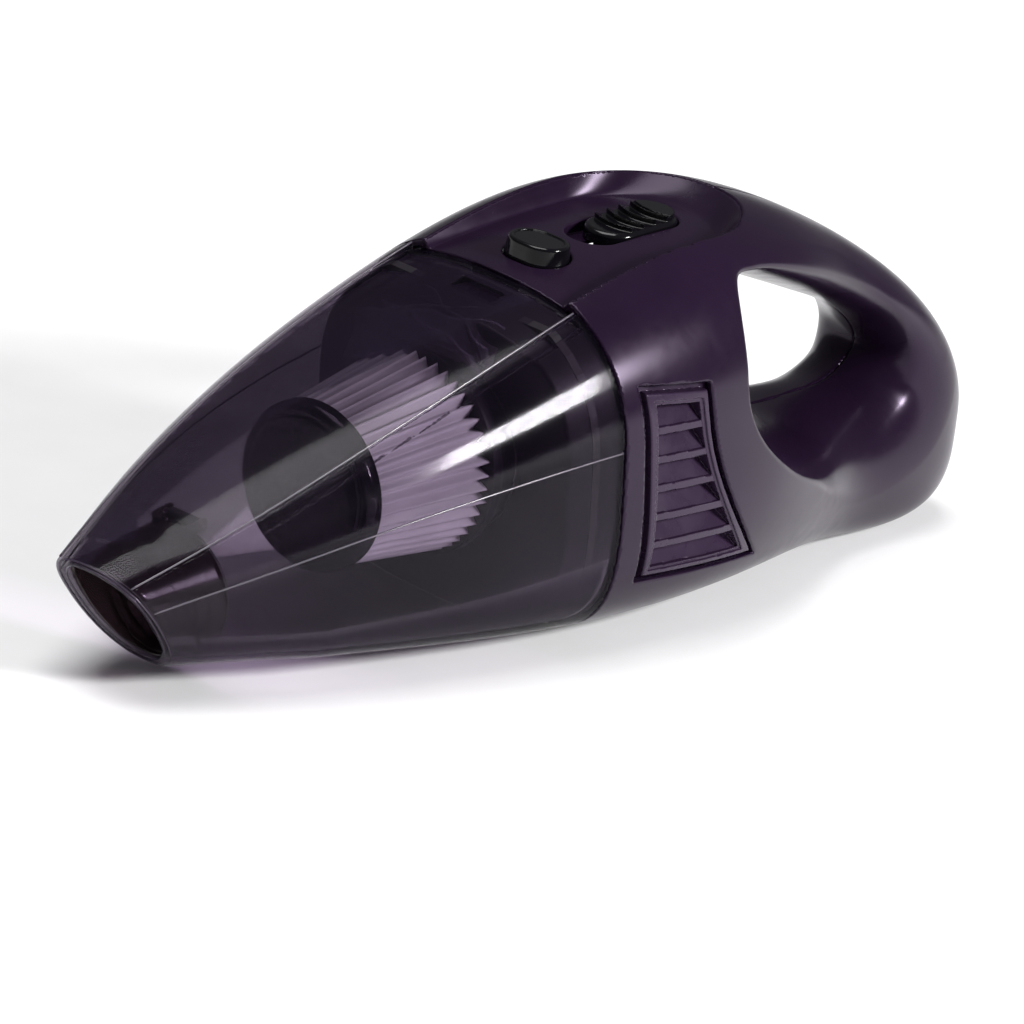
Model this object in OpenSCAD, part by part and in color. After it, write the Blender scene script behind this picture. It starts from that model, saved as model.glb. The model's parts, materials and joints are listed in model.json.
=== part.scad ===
// Cordless handheld vacuum: clear dust cup in front, motor housing with a loop handle behind.
// Frame: nozzle towards -X, heel of the handle towards +X, +Z up, origin under the middle of the part.

/* [Body] */
// Length from the nozzle's lip to the heel of the handle
body_l = 380; // [370:1:390]
// Width at the widest point
body_w = 114; // [110:1:118]
// Height of the crown over the switch
body_h = 122; // [119:1:125]
// Wall of the housing shells
wall = 2.4; // [2:0.1:2.8]

/* [Dust cup] */
// Wall of the clear cup
cup_wall = 2; // [1.8:0.1:2.2]
// Gap between the cup and the housing at the seam
seam_gap = 0.6; // [0.4:0.1:0.8]
// Radius of the inlet duct's inner end
duct_r = 19.4; // [18.5:0.1:19.6]

/* [Filter] */
// Radius of the filter's front cap
cap_r = 25.9; // [25:0.1:26.5]
// Radius of the pleats at their wide end
pleat_r = 31; // [29:0.5:31.5]
// Number of pleats
pleats = 44; // [30:1:50]

/* [Motor] */
// Radius of the motor's can
motor_r = 17; // [15:0.5:17.5]
// Radius of the fan
fan_r = 29; // [26:0.5:29.5]
// Number of fan blades
blades = 9; // [7:1:11]

/* [Controls] */
// Travel of the power slider
switch_travel = 8; // [6:0.5:8]
// Gap round each moving control
control_gap = 0.4; // [0.3:0.1:0.5]

/* [Charging] */
// Radius of the charging socket's hole
jack_r = 2.9; // [2.7:0.1:3.1]
// Depth of the charging socket's hole
jack_depth = 9; // [8:0.5:9.5]

/* [Hidden] */
$fn = 48;

// Scales that stretch the nominal stations to the chosen size
kx = body_l / 380;
ky = body_w / 114;
kz = body_h / 122;

// Stations along the body: the top point (x, z), the bottom point (x, z) and half the width.
// A cubic B-spline runs through them, one unit of u per station.
stations = [
    [-190, 39.5, -157.5, 5, 18.5],
    [-151, 59.5, -125.5, 5.5, 33.5],
    [-109.5, 79.5, -88.5, 4, 43.5],
    [-67.5, 96.5, -49.5, 1.5, 50.5],
    [-28, 110.5, -10.5, 0, 54.5],
    [7.5, 119.5, 26, 1, 57],
    [40, 122.5, 60.5, 3.5, 55],
    [74, 117, 93, 4, 45],
    [108, 104, 125, 0.5, 29.5],
    [139, 88.5, 150, -1.5, 26.5],
    [166, 71, 172, 0, 23],
    [184, 50, 186, 8, 16.5],
    [192.5, 21.5, 192.5, 21.5, 0]
];
last = len(stations) - 1;
seam_u = 4;
upper_n = 2.4;
lower_n = 3.6;
waist = 0.57;
layer = 0.02;

// Crease angles and depth of the sunk top panel, at the nozzle and at the seam
crease_nose = 40;
crease_seam = 60.5;
step_nose = 0.6;
step_seam = 2.5;
crown_nose = 0.9;
crown_seam = 0.62;

// Filter axis: it dips towards the nozzle; s runs along it from the front cap
filter_pitch = 6;
filter_front = [-94, 0, 49.3];
pleat_end = 43;
// Motor axis: level, along X
motor_z = 37;
motor_x = 10;
motor_len = 40;

function flip(s) = [s[2], s[3], s[0], s[1], -s[4]];
function station(k) =
    k < 0 ? 2 * stations[0] - stations[1] :
    k > last ? flip(stations[2 * last - k]) : stations[k];
function spline(a, b, c, d, t) =
    ((1 - t) ^ 3 * a + (3 * t ^ 3 - 6 * t ^ 2 + 4) * b + (-3 * t ^ 3 + 3 * t ^ 2 + 3 * t + 1) * c
    + t ^ 3 * d) / 6;
function raw_frame(u) =
    let (k = min(floor(u), last - 1))
    spline(station(k - 1), station(k), station(k + 1), station(k + 2), u - k);
function frame_at(u) =
    let (f = raw_frame(u))
    [f[0] * kx, f[1] * kz, f[2] * kx, f[3] * kz, f[4] * ky];
function frame_h(f) = norm([f[0] - f[2], f[1] - f[3]]);
function power(v, n) = sign(v) * abs(v) ^ (2 / n);

// One cross-section: a superellipse, blunter below its widest line than above it
function section(w, h, inset, turns = 40) = [
    for (i = [0:turns - 1])
        let (a = 360 * i / turns, s = sin(a))
        [(w - inset) * power(cos(a), s < 0 ? lower_n : upper_n),
         waist * h + (s < 0 ? waist * h - inset : (1 - waist) * h - inset)
            * power(s, s < 0 ? lower_n : upper_n)]
];

module in_frame(f) {
    translate([f[2], 0, f[3]])
        rotate([0, atan2(f[0] - f[2], f[1] - f[3]), 0])
            rotate([90, 0, 90]) children();
}

module slice(u, inset) {
    f = frame_at(u);
    in_frame(f) linear_extrude(layer, center = true) polygon(section(f[4], frame_h(f), inset));
}

// Solid skin between two stations, set in from the outer surface
module loft(u0, u1, step, inset = 0) {
    n = ceil((u1 - u0) / step);
    for (i = [0:n - 1])
        hull() {
            slice(u0 + (u1 - u0) * i / n, inset);
            slice(u0 + (u1 - u0) * (i + 1) / n, inset);
        }
}

// Place children in the tilted seam plane: local X points rearwards, local Z up along the seam
module at_seam(u = seam_u) {
    f = frame_at(u);
    translate([f[2], 0, f[3]]) rotate([0, atan2(f[0] - f[2], f[1] - f[3]), 0]) children();
}

module across(depth) {
    rotate([90, 0, 0]) linear_extrude(depth, center = true) children();
}

// ---- sunk panel on top of the cup ----

function mix(a, b, u) = a + (b - a) * u / seam_u;
function crease(u) = mix(crease_nose, crease_seam, u);
function crease_y(u) = frame_at(u)[4] * power(cos(crease(u)), upper_n);
function crease_s(u) = frame_h(frame_at(u)) * (waist + (1 - waist) * power(sin(crease(u)), upper_n));
function panel_s(u) =
    let (s = crease_s(u))
    s - mix(step_nose, step_seam, u)
    + 0.5 * mix(crown_nose, crown_seam, u) * (frame_h(frame_at(u)) - s);

module sunk_space(u0, u1, grow) {
    n = 8;
    for (i = [0:n - 1])
        hull()
            for (k = [i, i + 1]) {
                u = u0 + (u1 - u0) * k / n;
                in_frame(frame_at(u)) linear_extrude(layer, center = true)
                    translate([-crease_y(u) - grow, panel_s(u) - grow])
                        square([2 * (crease_y(u) + grow), 40]);
            }
}

// Cup-shaped solid, set in from the cup's outer surface
module cup_solid(u0, u1, step, inset) {
    difference() {
        loft(u0, u1, step, inset);
        sunk_space(0.4, 4.2, inset);
    }
}

// ---- handle's hole ----

module hole_profile(grow = 0) {
    hull() {
        translate([46 * kx, 87.5 * kz]) circle(14 + grow);
        translate([52 * kx, 78 * kz]) circle(20 + grow);
        translate([100 * kx, 63 * kz]) circle(20 + grow);
        translate([136 * kx, 56 * kz]) circle(10 + grow);
    }
}

// The hole is flared towards both sides at its lower rim
flare_drop = 16;
module handle_hole(grow = 0) {
    across(200) hole_profile(grow);
    for (side = [-1, 1])
        hull() {
            translate([0, side * 14, 0]) across(1) hole_profile(grow);
            translate([14, side * 60, -flare_drop]) across(1) hole_profile(grow);
        }
}

// ---- recess of the controls ----

panel_half = 28.5;
panel_front = -45;
panel_end = 67;
panel_skin = 1.6;
panel_wall = 2.2;
panel_drop = 1.5;
function floor_z(x) = (110 + 0.115 * x - 0.0012 * x * x) * kz - panel_drop;

module panel_plan(grow = 0) {
    hull() {
        translate([panel_front, 0]) square([1, 2 * (panel_half + grow)], center = true);
        translate([(panel_end - 36) * kx, 0])
            scale([(36 + grow) / (panel_half + grow), 1]) circle(panel_half + grow);
    }
}

module panel_space(grow, drop) {
    steps = 6;
    x1 = panel_end * kx + 4;
    intersection() {
        translate([0, 0, 60]) linear_extrude(100) panel_plan(grow);
        for (i = [0:steps - 1])
            hull()
                for (k = [i, i + 1]) {
                    x = panel_front + (x1 - panel_front) * k / steps;
                    translate([x, 0, floor_z(x) - drop + 30]) cube([layer, 70, 60], center = true);
                }
    }
}

// ---- vents ----

module vent_profile(grow = 0) {
    offset(delta = grow) polygon([
        [-17.4, 85.4], [11.5, 83.6], [17, 67.6], [27.5, 47], [43, 29], [52.6, 21.3], [-4.2, 22.3]
    ]);
}
module vent_window() {
    polygon([
        [-10, 79.6], [9, 78.5], [17.5, 62], [28, 42.5], [35.3, 32.3], [43, 24.3], [0.2, 25.4]
    ]);
}
slat_top = 71;
slat_pitch = 9.4;
slat_h = 2.4;
slats = 5;

// ---- screws and bosses: they run across the body and enter from the right side ----

screw_spots = [[20, 9], [57, 12], [138, 14], [162, 44], [84, 102]];
screw_y = 6;
boss_r = 4.6;
module at_screws() {
    for (p = screw_spots) translate([p[0] * kx, 0, p[1] * kz]) rotate([-90, 0, 0]) children();
}

// ---- charging socket: its axis leaves the heel of the handle ----

jack_z = 24;
jack_body_r = 5.2;
heel_x = body_l / 2;
jack_sunk = 5;
module on_jack_axis(r, depth) {
    translate([heel_x - jack_sunk - depth, 0, jack_z * kz]) rotate([0, 90, 0])
        cylinder(r = r, h = depth);
}

// ---- housing shells ----

module body_solid() {
    intersection() {
        union() {
            loft(seam_u, last - 0.5, 0.5);
            loft(last - 0.5, last - 0.04, 0.16);
        }
        translate([-300, -100, 0]) cube([600, 200, 200]);
    }
}

module housing_whole() {
    difference() {
        body_solid();
        difference() {
            loft(seam_u - 0.2, last - 0.35, 0.5, wall);
            handle_hole(wall);
            translate([-300, -100, -1]) cube([600, 200, 1 + wall]);
            at_screws() cylinder(r = boss_r, h = 140, center = true);
        }
        handle_hole();
        panel_space(0, panel_skin + 0.1);
        across(300) vent_profile();
        at_seam() translate([seam_gap - 20, -100, -20]) cube([20, 200, 200]);
        translate([jack_sunk + 1, 0, 0]) on_jack_axis(jack_body_r + 0.2, 30);
        at_screws() translate([0, 0, screw_y]) cylinder(r = 3.1, h = 80);
        at_screws() cylinder(r = 1.6, h = 24, center = true);
    }
}

module housing_half(side) {
    intersection() {
        housing_whole();
        translate([-300, side < 0 ? -200 : 0, -1]) cube([600, 200, 300]);
    }
}

module housing_left() {
    color("#2c1e32") housing_half(-1);
}

module housing_right() {
    color("#2c1e32") housing_half(1);
}

// Tray that fills the recess: floor, side walls, the button's hole and the slider's pocket
button_x = -10;
button_top = 112.7;
button_rx = 8.2;
button_ry = 10.2;
knob_x = 31;
knob_half = 16.5;
knob_r = 8.5;
knob_base = 107.6;
knob_top = 115.4;
pocket_skin = 1.4;

module racetrack(x0, x1, r, h) {
    hull() {
        translate([x0 + r, 0, 0]) cylinder(r = r, h = h);
        translate([x1 - r, 0, 0]) cylinder(r = r, h = h);
    }
}

module button_plan(grow, h) {
    hull()
        for (side = [-1, 1])
            translate([button_x, side * (button_ry - button_rx), 0])
                cylinder(r = button_rx + grow, h = h);
}

module knob_sweep(grow, h) {
    racetrack(knob_x - knob_half - switch_travel - grow, knob_x + knob_half + grow, knob_r + grow, h);
}

module control_panel() {
    color("#35263b")
        difference() {
            union() {
                difference() {
                    intersection() {
                        body_solid();
                        panel_space(-0.15, panel_skin);
                    }
                    panel_space(-panel_wall, 0);
                    at_seam() translate([seam_gap - 20, -100, -20]) cube([20, 200, 200]);
                }
                translate([0, 0, knob_base - control_gap - pocket_skin])
                    knob_sweep(control_gap + 1.2, 4.5);
            }
            translate([0, 0, 90]) button_plan(control_gap, 40);
            translate([0, 0, knob_base - control_gap]) knob_sweep(control_gap, 30);
            translate([0, 0, 90])
                racetrack(fork_x - switch_travel - 3.5, fork_x + 3.5, 3, 30);
        }
}

// Louvre insert of one side
module vent_grille(side) {
    intersection() {
        difference() {
            loft(seam_u, 8, 0.5, 0.6);
            loft(seam_u - 0.2, 8.2, 0.6, 3.4);
            across(300)
                difference() {
                    vent_window();
                    for (i = [0:slats - 1])
                        translate([-30, slat_top - i * slat_pitch]) square([100, slat_h]);
                }
        }
        translate([0, side * 60, 0]) across(60) vent_profile(-0.3);
    }
}

module vent_grille_left() {
    color("#2a1d30") vent_grille(-1);
}

module vent_grille_right() {
    color("#2a1d30") vent_grille(1);
}

module housing_screws() {
    color("silver")
        at_screws() {
            translate([0, 0, screw_y]) cylinder(r = 2.8, h = 2);
            translate([0, 0, -10]) cylinder(r = 1.5, h = 10 + screw_y);
        }
}

// ---- bulkhead: the black plug that closes the back of the cup ----

plug_u = 3.5;
plug_gap = 0.6;
plug_skin = 2.4;
lip_back = 5;
groove_u = 3.72;
groove_w = 0.08;
groove_depth = 1.4;

// Latch tab of the cup, and the trough in the bulkhead that it lies over
tab_z = 99.4;
tab_h = 2;
tab_half = 8;
tab_front = -37;
tab_back = -22;
trough_z = 91.8;
trough_half = 9;
trough_front = -39;
trough_back = -3;
shelf_z = 84;
skin = 1.4;

seat_r = 28.6;
seat_rim = 33;
seat_s = 46.6;

module along_filter(s) {
    translate(filter_front) rotate([0, 90 - filter_pitch, 0]) translate([0, 0, s]) children();
}

module trough_box(grow, z, x0, x1) {
    translate([x0, -trough_half - grow, z]) cube([x1 - x0, 2 * (trough_half + grow), 106 - z]);
}

module bulkhead() {
    inset = cup_wall + plug_gap;
    color("#141216")
        difference() {
            union() {
                difference() {
                    union() {
                        cup_solid(plug_u, seam_u, 0.25, inset);
                        intersection() {
                            loft(seam_u - 0.1, seam_u + 0.5, 0.2, wall + 0.2);
                            at_seam() translate([-0.02, -100, -20]) cube([lip_back, 200, 120]);
                        }
                    }
                    cup_solid(plug_u + 0.12, seam_u + 0.6, 0.22, inset + plug_skin);
                    difference() {
                        cup_solid(groove_u, groove_u + groove_w, 0.1, inset - 2);
                        cup_solid(groove_u - 0.1, groove_u + 0.2, 0.3, inset + groove_depth);
                    }
                }
                intersection() {
                    trough_box(skin, shelf_z - skin, trough_front, trough_back);
                    translate([-80, -100, 0]) cube([120, 200, 97.2]);
                }
            }
            along_filter(20) cylinder(r = seat_r, h = 80);
            trough_box(0, trough_z, trough_front + skin, 20);
            translate([trough_front + 10, -trough_half, shelf_z])
                cube([60, 2 * trough_half, trough_z - skin - shelf_z]);
            translate([-18, -trough_half, shelf_z]) cube([60, 2 * trough_half, 30]);
        }
}

module cup_seal() {
    color("#2b2b2d")
        difference() {
            cup_solid(groove_u + 0.005, groove_u + groove_w - 0.005, 0.1, cup_wall + 0.2);
            cup_solid(groove_u - 0.1, groove_u + 0.2, 0.3, cup_wall + plug_gap + groove_depth - 0.1);
            trough_box(skin + 0.2, trough_z - skin - 0.2, trough_front - 1, 20);
            // gap in the ring where the latch tab passes over it
            translate([-60, -tab_half - 0.6, tab_z - 0.7]) cube([70, 2 * tab_half + 1.2, 30]);
        }
}

module filter_seat() {
    color("#101012")
        difference() {
            along_filter(seat_s) cylinder(r = seat_rim, h = 24);
            along_filter(seat_s - 1) cylinder(r = seat_r, h = 30);
            at_seam(plug_u) translate([0, -100, -20]) cube([80, 200, 200]);
        }
}

// ---- dust cup ----

rim_inset = 3.2;

module cup_shell() {
    color("#4c3a52")
        difference() {
            union() {
                difference() {
                    cup_solid(0, seam_u, 0.25, 0);
                    cup_solid(0.3, seam_u + 0.1, 0.25, cup_wall);
                    loft(-0.1, 0.32, 0.2, rim_inset);
                }
                translate([tab_front, -tab_half, tab_z])
                    cube([tab_back - tab_front, 2 * tab_half, tab_h]);
            }
            translate([-29, -4.6, tab_z - 1]) cube([5, 9.2, 5]);
        }
}

duct_end = [-147.6, 0, 27.5];
duct_pitch = 12;
duct_skin = 1.4;
pin_r = 0.9;
pin_up = 20.3;
pin_s = 2.2;
hub_r = 1.9;
hub_half = 5.2;
flap_t = 1.2;
lug_half = 7.6;

module at_duct_end() {
    translate(duct_end) rotate([0, -duct_pitch, 0]) children();
}
module across_y(half) {
    rotate([90, 0, 0]) linear_extrude(2 * half, center = true) children();
}
module pin_bar(r, half) {
    at_duct_end() translate([pin_s, 0, pin_up]) rotate([90, 0, 0])
        cylinder(r = r, h = 2 * half, center = true);
}

module duct_solid(u, inset, r) {
    hull() {
        slice(u, inset);
        at_duct_end() rotate([0, 90, 0]) translate([0, 0, -layer]) cylinder(r = r, h = layer);
    }
}

module inlet_duct() {
    color("#2a1f26")
        difference() {
            union() {
                duct_solid(0.08, rim_inset + 0.1, duct_r);
                for (side = [-1, 1])
                    at_duct_end()
                        translate([-4, side > 0 ? hub_half + 0.4 : -lug_half, duct_r - 1.4])
                            cube([8.4, lug_half - hub_half - 0.4, 4.4]);
            }
            duct_solid(0.075, rim_inset + 0.1 + duct_skin, duct_r - duct_skin);
            at_duct_end() rotate([0, 90, 0]) translate([0, 0, -1]) cylinder(r = duct_r - duct_skin, h = 3);
            pin_bar(pin_r, 20);
        }
}

module flap_pin() {
    color("silver") pin_bar(pin_r, lug_half);
}

module inlet_flap() {
    color("#1c1c1e")
        difference() {
            union() {
                at_duct_end() rotate([0, 90, 0]) translate([0, 0, 0.5])
                    cylinder(r = duct_r - 0.8, h = flap_t);
                at_duct_end() translate([0.5, -hub_half, 15]) cube([flap_t, 2 * hub_half, pin_up - 15]);
                pin_bar(hub_r, hub_half);
            }
            pin_bar(pin_r + 0.05, 20);
        }
}

// ---- filter cartridge ----

cage_r = 19;
cap_depth = 5;
pleat_depth = 5;

module filter_cap() {
    color("#121113")
        along_filter(-cap_depth)
            rotate_extrude($fn = 64)
                polygon([[0, 0], [cap_r - 3, 0], [cap_r - 1, 0.8], [cap_r, 2.5], [cap_r, cap_depth + 1],
                    [cap_r - 1.5, cap_depth + 1], [0, cap_depth + 1]]);
}

module pleat_star(r) {
    polygon([
        for (i = [0:2 * pleats - 1])
            let (a = 180 * i / pleats, q = i % 2 == 0 ? r : r - pleat_depth)
            [q * cos(a), q * sin(a)]
    ]);
}

module filter_pleats() {
    front = cap_r - 1;
    color("#cdb9cf")
        difference() {
            along_filter(1)
                linear_extrude(pleat_end - 1, scale = pleat_r / front) pleat_star(front);
            along_filter(0) cylinder(r = cage_r + 0.3, h = 60);
        }
}

module filter_cage() {
    color("#1a191b")
        difference() {
            along_filter(1) cylinder(r = cage_r, h = pleat_end - 1);
            along_filter(0) cylinder(r = cage_r - 1.4, h = 60);
            for (a = [0:45:135], s = [5, 18, 31])
                along_filter(s) rotate([0, 0, a]) translate([-30, -4, 0]) cube([60, 8, 9]);
        }
}

module filter_collar() {
    color("#101012")
        difference() {
            union() {
                along_filter(pleat_end) cylinder(r = seat_rim - 1, h = 3);
                along_filter(pleat_end) cylinder(r = seat_r - 0.5, h = 13);
            }
            along_filter(0) cylinder(r = seat_r - 3, h = 80);
        }
}

// ---- fan and motor, on the level motor axis ----

module on_motor(x) {
    translate([x, 0, motor_z]) rotate([0, 90, 0]) children();
}
shaft_r = 1.6;
shroud_r = fan_r + 2.4;
shroud_x = -8;
shroud_len = 18;
sheet = 1.6;
can_skin = 1.6;

screw_ring = 13;
module motor_screw_holes() {
    for (a = [0, 180])
        on_motor(shroud_x + 12) rotate([0, 0, a]) translate([screw_ring, 0, 0])
            cylinder(r = 1.1, h = 8);
}

module fan_shroud() {
    color("#2e2e31")
        difference() {
            on_motor(shroud_x) cylinder(r = shroud_r, h = shroud_len);
            on_motor(shroud_x + sheet) cylinder(r = shroud_r - 1.8, h = shroud_len - 2 * sheet);
            on_motor(shroud_x - 1) cylinder(r = 12, h = 5);
            on_motor(shroud_x + 8) cylinder(r = 8, h = 20);
            for (a = [0:30:330])
                on_motor(shroud_x + 8) rotate([0, 0, a]) translate([22, 0, 0])
                    cylinder(r = 4, h = 20);
            motor_screw_holes();
        }
}

module motor_can() {
    color("silver")
        difference() {
            on_motor(motor_x + 1.6) cylinder(r = motor_r, h = motor_len - 3.6);
            on_motor(motor_x) cylinder(r = motor_r - can_skin, h = motor_len + 4);
        }
}

module motor_front_bell() {
    color("#b9bbbd")
        difference() {
            union() {
                on_motor(motor_x) cylinder(r = motor_r, h = 1.6);
                on_motor(motor_x - 4) cylinder(r = 5, h = 8);
            }
            on_motor(motor_x - 6) cylinder(r = shaft_r + 0.05, h = 20);
            motor_screw_holes();
        }
}

module motor_rear_bell() {
    color("#2a2a2c")
        difference() {
            union() {
                on_motor(motor_x + motor_len - 2) cylinder(r = motor_r, h = 3);
                on_motor(motor_x + motor_len) cylinder(r = 5, h = 6);
            }
            on_motor(motor_x) cylinder(r = shaft_r + 0.05, h = 60);
        }
}

module motor_magnets() {
    color("#3b3b3e")
        for (side = [-1, 1])
            difference() {
                on_motor(motor_x + 5) cylinder(r = motor_r - can_skin, h = 28);
                on_motor(motor_x) cylinder(r = motor_r - 4, h = 60);
                translate([0, side > 0 ? -100 : -6, 0]) cube([60, 106, 100]);
            }
}

module motor_brushes() {
    color("#3a2f2a")
        for (side = [-1, 1])
            translate([motor_x + 34, side * 8.6 - 3, motor_z - 1.5]) cube([3.4, 6, 3]);
}

module motor_ring(x, grow) {
    difference() {
        on_motor(x) cylinder(r = motor_r + grow, h = 5);
        on_motor(x - 1) cylinder(r = motor_r + 0.05, h = 8);
    }
}
module front_motor_ring() {
    color("#202022") motor_ring(motor_x + 3, 3.5);
}
module rear_motor_ring() {
    color("#202022") motor_ring(motor_x + 33, 1.4);
}

module motor_screws() {
    color("silver")
        for (a = [0, 180])
            on_motor(shroud_x + shroud_len - sheet - 1.4) rotate([0, 0, a])
                translate([screw_ring, 0, 0]) {
                    cylinder(r = 2.2, h = 1.4);
                    cylinder(r = 1, h = 4.4);
                }
}

module rotor_shaft() {
    color("silver") on_motor(shroud_x + 2.4) cylinder(r = shaft_r, h = 61);
}

module fan_wheel() {
    hub_x = shroud_x + 3;
    color("#d8d8da")
        difference() {
            union() {
                on_motor(hub_x + 8) cylinder(r = fan_r, h = 1.2);
                on_motor(hub_x) cylinder(r = 5, h = 9);
                for (i = [0:blades - 1])
                    on_motor(hub_x + 1) rotate([0, 0, 360 * i / blades])
                        translate([4, 0, 0]) rotate([0, 0, 18]) cube([fan_r - 6, 1, 7.4]);
            }
            on_motor(hub_x - 5) cylinder(r = shaft_r, h = 30);
        }
}

module armature_core() {
    color("#8a5a34")
        difference() {
            on_motor(motor_x + 7) cylinder(r = motor_r - 4.6, h = 24);
            on_motor(motor_x) cylinder(r = shaft_r, h = 60);
        }
}

module commutator() {
    color("#b87333")
        difference() {
            on_motor(motor_x + 32.6) cylinder(r = 5.2, h = 5);
            on_motor(motor_x) cylinder(r = shaft_r, h = 60);
        }
}

// ---- batteries, charging board and socket ----

cell_r = 9.2;
cell_l = 65;
cell_x = 62;
cell_z = 16.6;

module cells(r, grow) {
    for (side = [-1, 1])
        translate([cell_x - grow, side * 9.7, cell_z]) rotate([0, 90, 0])
            cylinder(r = r, h = cell_l + 2 * grow);
}

module battery_cells() {
    color("#3f6f8a") cells(cell_r, 0);
}

module battery_cradle() {
    color("#1d1d1f")
        difference() {
            translate([cell_x + 2, -11, 6.6]) cube([cell_l - 4, 22, 7]);
            cells(cell_r + 0.1, 2);
        }
}

module circuit_board() {
    color("#2d6a43") {
        translate([72, -14, 28]) cube([46, 28, 1.6]);
        translate([78, -9, 29.6]) cube([8, 10, 3]);
        translate([96, -6, 29.6]) cube([12, 8, 4]);
    }
}

module charging_jack() {
    color("#151517")
        difference() {
            on_jack_axis(jack_body_r, 15);
            on_jack_axis(jack_r, jack_depth);
        }
}

module power_switch() {
    color("#19191b") translate([4, -6, 93.4]) cube([22, 12, 8.4]);
}

// ---- controls ----

fork_x = 20;

module button_body(grow, z, h) {
    translate([0, 0, z]) button_plan(grow, h);
}

flange_z = 102.2;
module release_button() {
    color("#151416")
        union() {
            button_body(1, flange_z, 1.3);
            button_body(0, flange_z, button_top - flange_z - 1.2);
            button_body(-1.2, flange_z, button_top - flange_z);
        }
}

arm_z = 95.2;
arm_h = 2.4;
module latch_hook() {
    color("#1b1a1c")
        union() {
            translate([-28.5, -4, arm_z]) cube([24.5, 8, arm_h]);
            translate([-28.5, -4, arm_z]) cube([3.5, 8, tab_z - 0.3 - arm_z]);
            translate([-14, -4, arm_z]) cube([8, 8, flange_z - arm_z]);
        }
}

module button_spring() {
    color("silver")
        translate([-10, 0, shelf_z]) difference() {
            cylinder(r = 3.6, h = arm_z - shelf_z);
            translate([0, 0, -1]) cylinder(r = 2.8, h = 20);
        }
}

module slider_knob() {
    ribs = 4;
    color("#131214")
        union() {
            translate([0, 0, knob_base])
                racetrack(knob_x - knob_half, knob_x + knob_half, knob_r, 5.8);
            translate([0, 0, knob_base])
                racetrack(knob_x - knob_half + 1, knob_x + knob_half - 1, knob_r - 1, 6.6);
            for (i = [0:ribs - 1])
                intersection() {
                    translate([knob_x - 7 + i * 5.5, -7.5, knob_base]) cube([1.6, 15, knob_top - knob_base]);
                    translate([0, 0, knob_base])
                        racetrack(knob_x - knob_half + 1, knob_x + knob_half - 1, knob_r - 1, 20);
                }
        }
}

module slider_fork() {
    color("#19181a") translate([fork_x - 2, -2.4, 102.2]) cube([4, 4.8, knob_base - 102.2]);
}

housing_left();
housing_right();
control_panel();
vent_grille_left();
vent_grille_right();
housing_screws();
bulkhead();
cup_seal();
filter_seat();
fan_shroud();
motor_can();
motor_front_bell();
motor_rear_bell();
motor_magnets();
motor_brushes();
front_motor_ring();
rear_motor_ring();
motor_screws();
battery_cells();
battery_cradle();
circuit_board();
charging_jack();
power_switch();
cup_shell();
inlet_duct();
flap_pin();
inlet_flap();
filter_cap();
filter_pleats();
filter_cage();
filter_collar();
release_button();
latch_hook();
button_spring();
slider_knob();
slider_fork();
rotor_shaft();
fan_wheel();
armature_core();
commutator();
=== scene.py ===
"""Looks of the cordless handheld vacuum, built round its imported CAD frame.

Lengths are in millimetres until a mesh is made.
"""
import json
import math

import bmesh
import bpy
import numpy as np
import openvdb
from mathutils import Matrix, Vector

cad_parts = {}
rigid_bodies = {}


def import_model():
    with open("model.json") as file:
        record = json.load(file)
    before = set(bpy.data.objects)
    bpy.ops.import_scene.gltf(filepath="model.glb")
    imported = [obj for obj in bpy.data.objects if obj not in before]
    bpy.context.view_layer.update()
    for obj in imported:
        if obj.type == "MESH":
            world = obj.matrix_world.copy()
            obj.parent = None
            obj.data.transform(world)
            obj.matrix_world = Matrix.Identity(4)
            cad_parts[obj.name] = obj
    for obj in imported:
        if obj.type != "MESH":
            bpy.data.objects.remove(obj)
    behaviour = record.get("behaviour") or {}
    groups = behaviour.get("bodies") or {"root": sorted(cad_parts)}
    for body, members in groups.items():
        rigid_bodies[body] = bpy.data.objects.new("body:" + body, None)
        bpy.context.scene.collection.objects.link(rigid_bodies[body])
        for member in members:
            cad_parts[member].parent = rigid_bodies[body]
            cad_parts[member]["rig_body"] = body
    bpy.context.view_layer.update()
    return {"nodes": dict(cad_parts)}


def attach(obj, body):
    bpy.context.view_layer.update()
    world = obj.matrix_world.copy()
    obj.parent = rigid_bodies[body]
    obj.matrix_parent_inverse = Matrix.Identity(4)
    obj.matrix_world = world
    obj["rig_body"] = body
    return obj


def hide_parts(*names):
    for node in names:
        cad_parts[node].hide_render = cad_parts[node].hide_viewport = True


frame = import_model()

MM = 0.001
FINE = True

# ---- body shape, as in the CAD model
# Stations along the body: top point (x, z), bottom point (x, z), half width.
# A cubic B-spline follows them.
STATIONS = np.array([
    [-190, 39.5, -157.5, 5, 18.5],
    [-151, 59.5, -125.5, 5.5, 33.5],
    [-109.5, 79.5, -88.5, 4, 43.5],
    [-67.5, 96.5, -49.5, 1.5, 50.5],
    [-28, 110.5, -10.5, 0, 54.5],
    [7.5, 119.5, 26, 1, 57],
    [40, 122.5, 60.5, 3.5, 55],
    [74, 117, 93, 4, 45],
    [108, 104, 125, 0.5, 29.5],
    [139, 88.5, 150, -1.5, 26.5],
    [166, 71, 172, 0, 23],
    [184, 50, 186, 8, 16.5],
    [192.5, 21.5, 192.5, 21.5, 0],
], float)
LAST = len(STATIONS) - 1
SEAM_U = 4.0
UPPER_N, LOWER_N, MOUTH_N, WAIST = 2.4, 3.6, 2.3, 0.57
WALL, CUP_WALL, SEAM_GAP = 2.4, 2.0, 0.6
LEAST_V = 0.03 ** 2
DEEP, FAR = 30.0, 1e9


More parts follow.
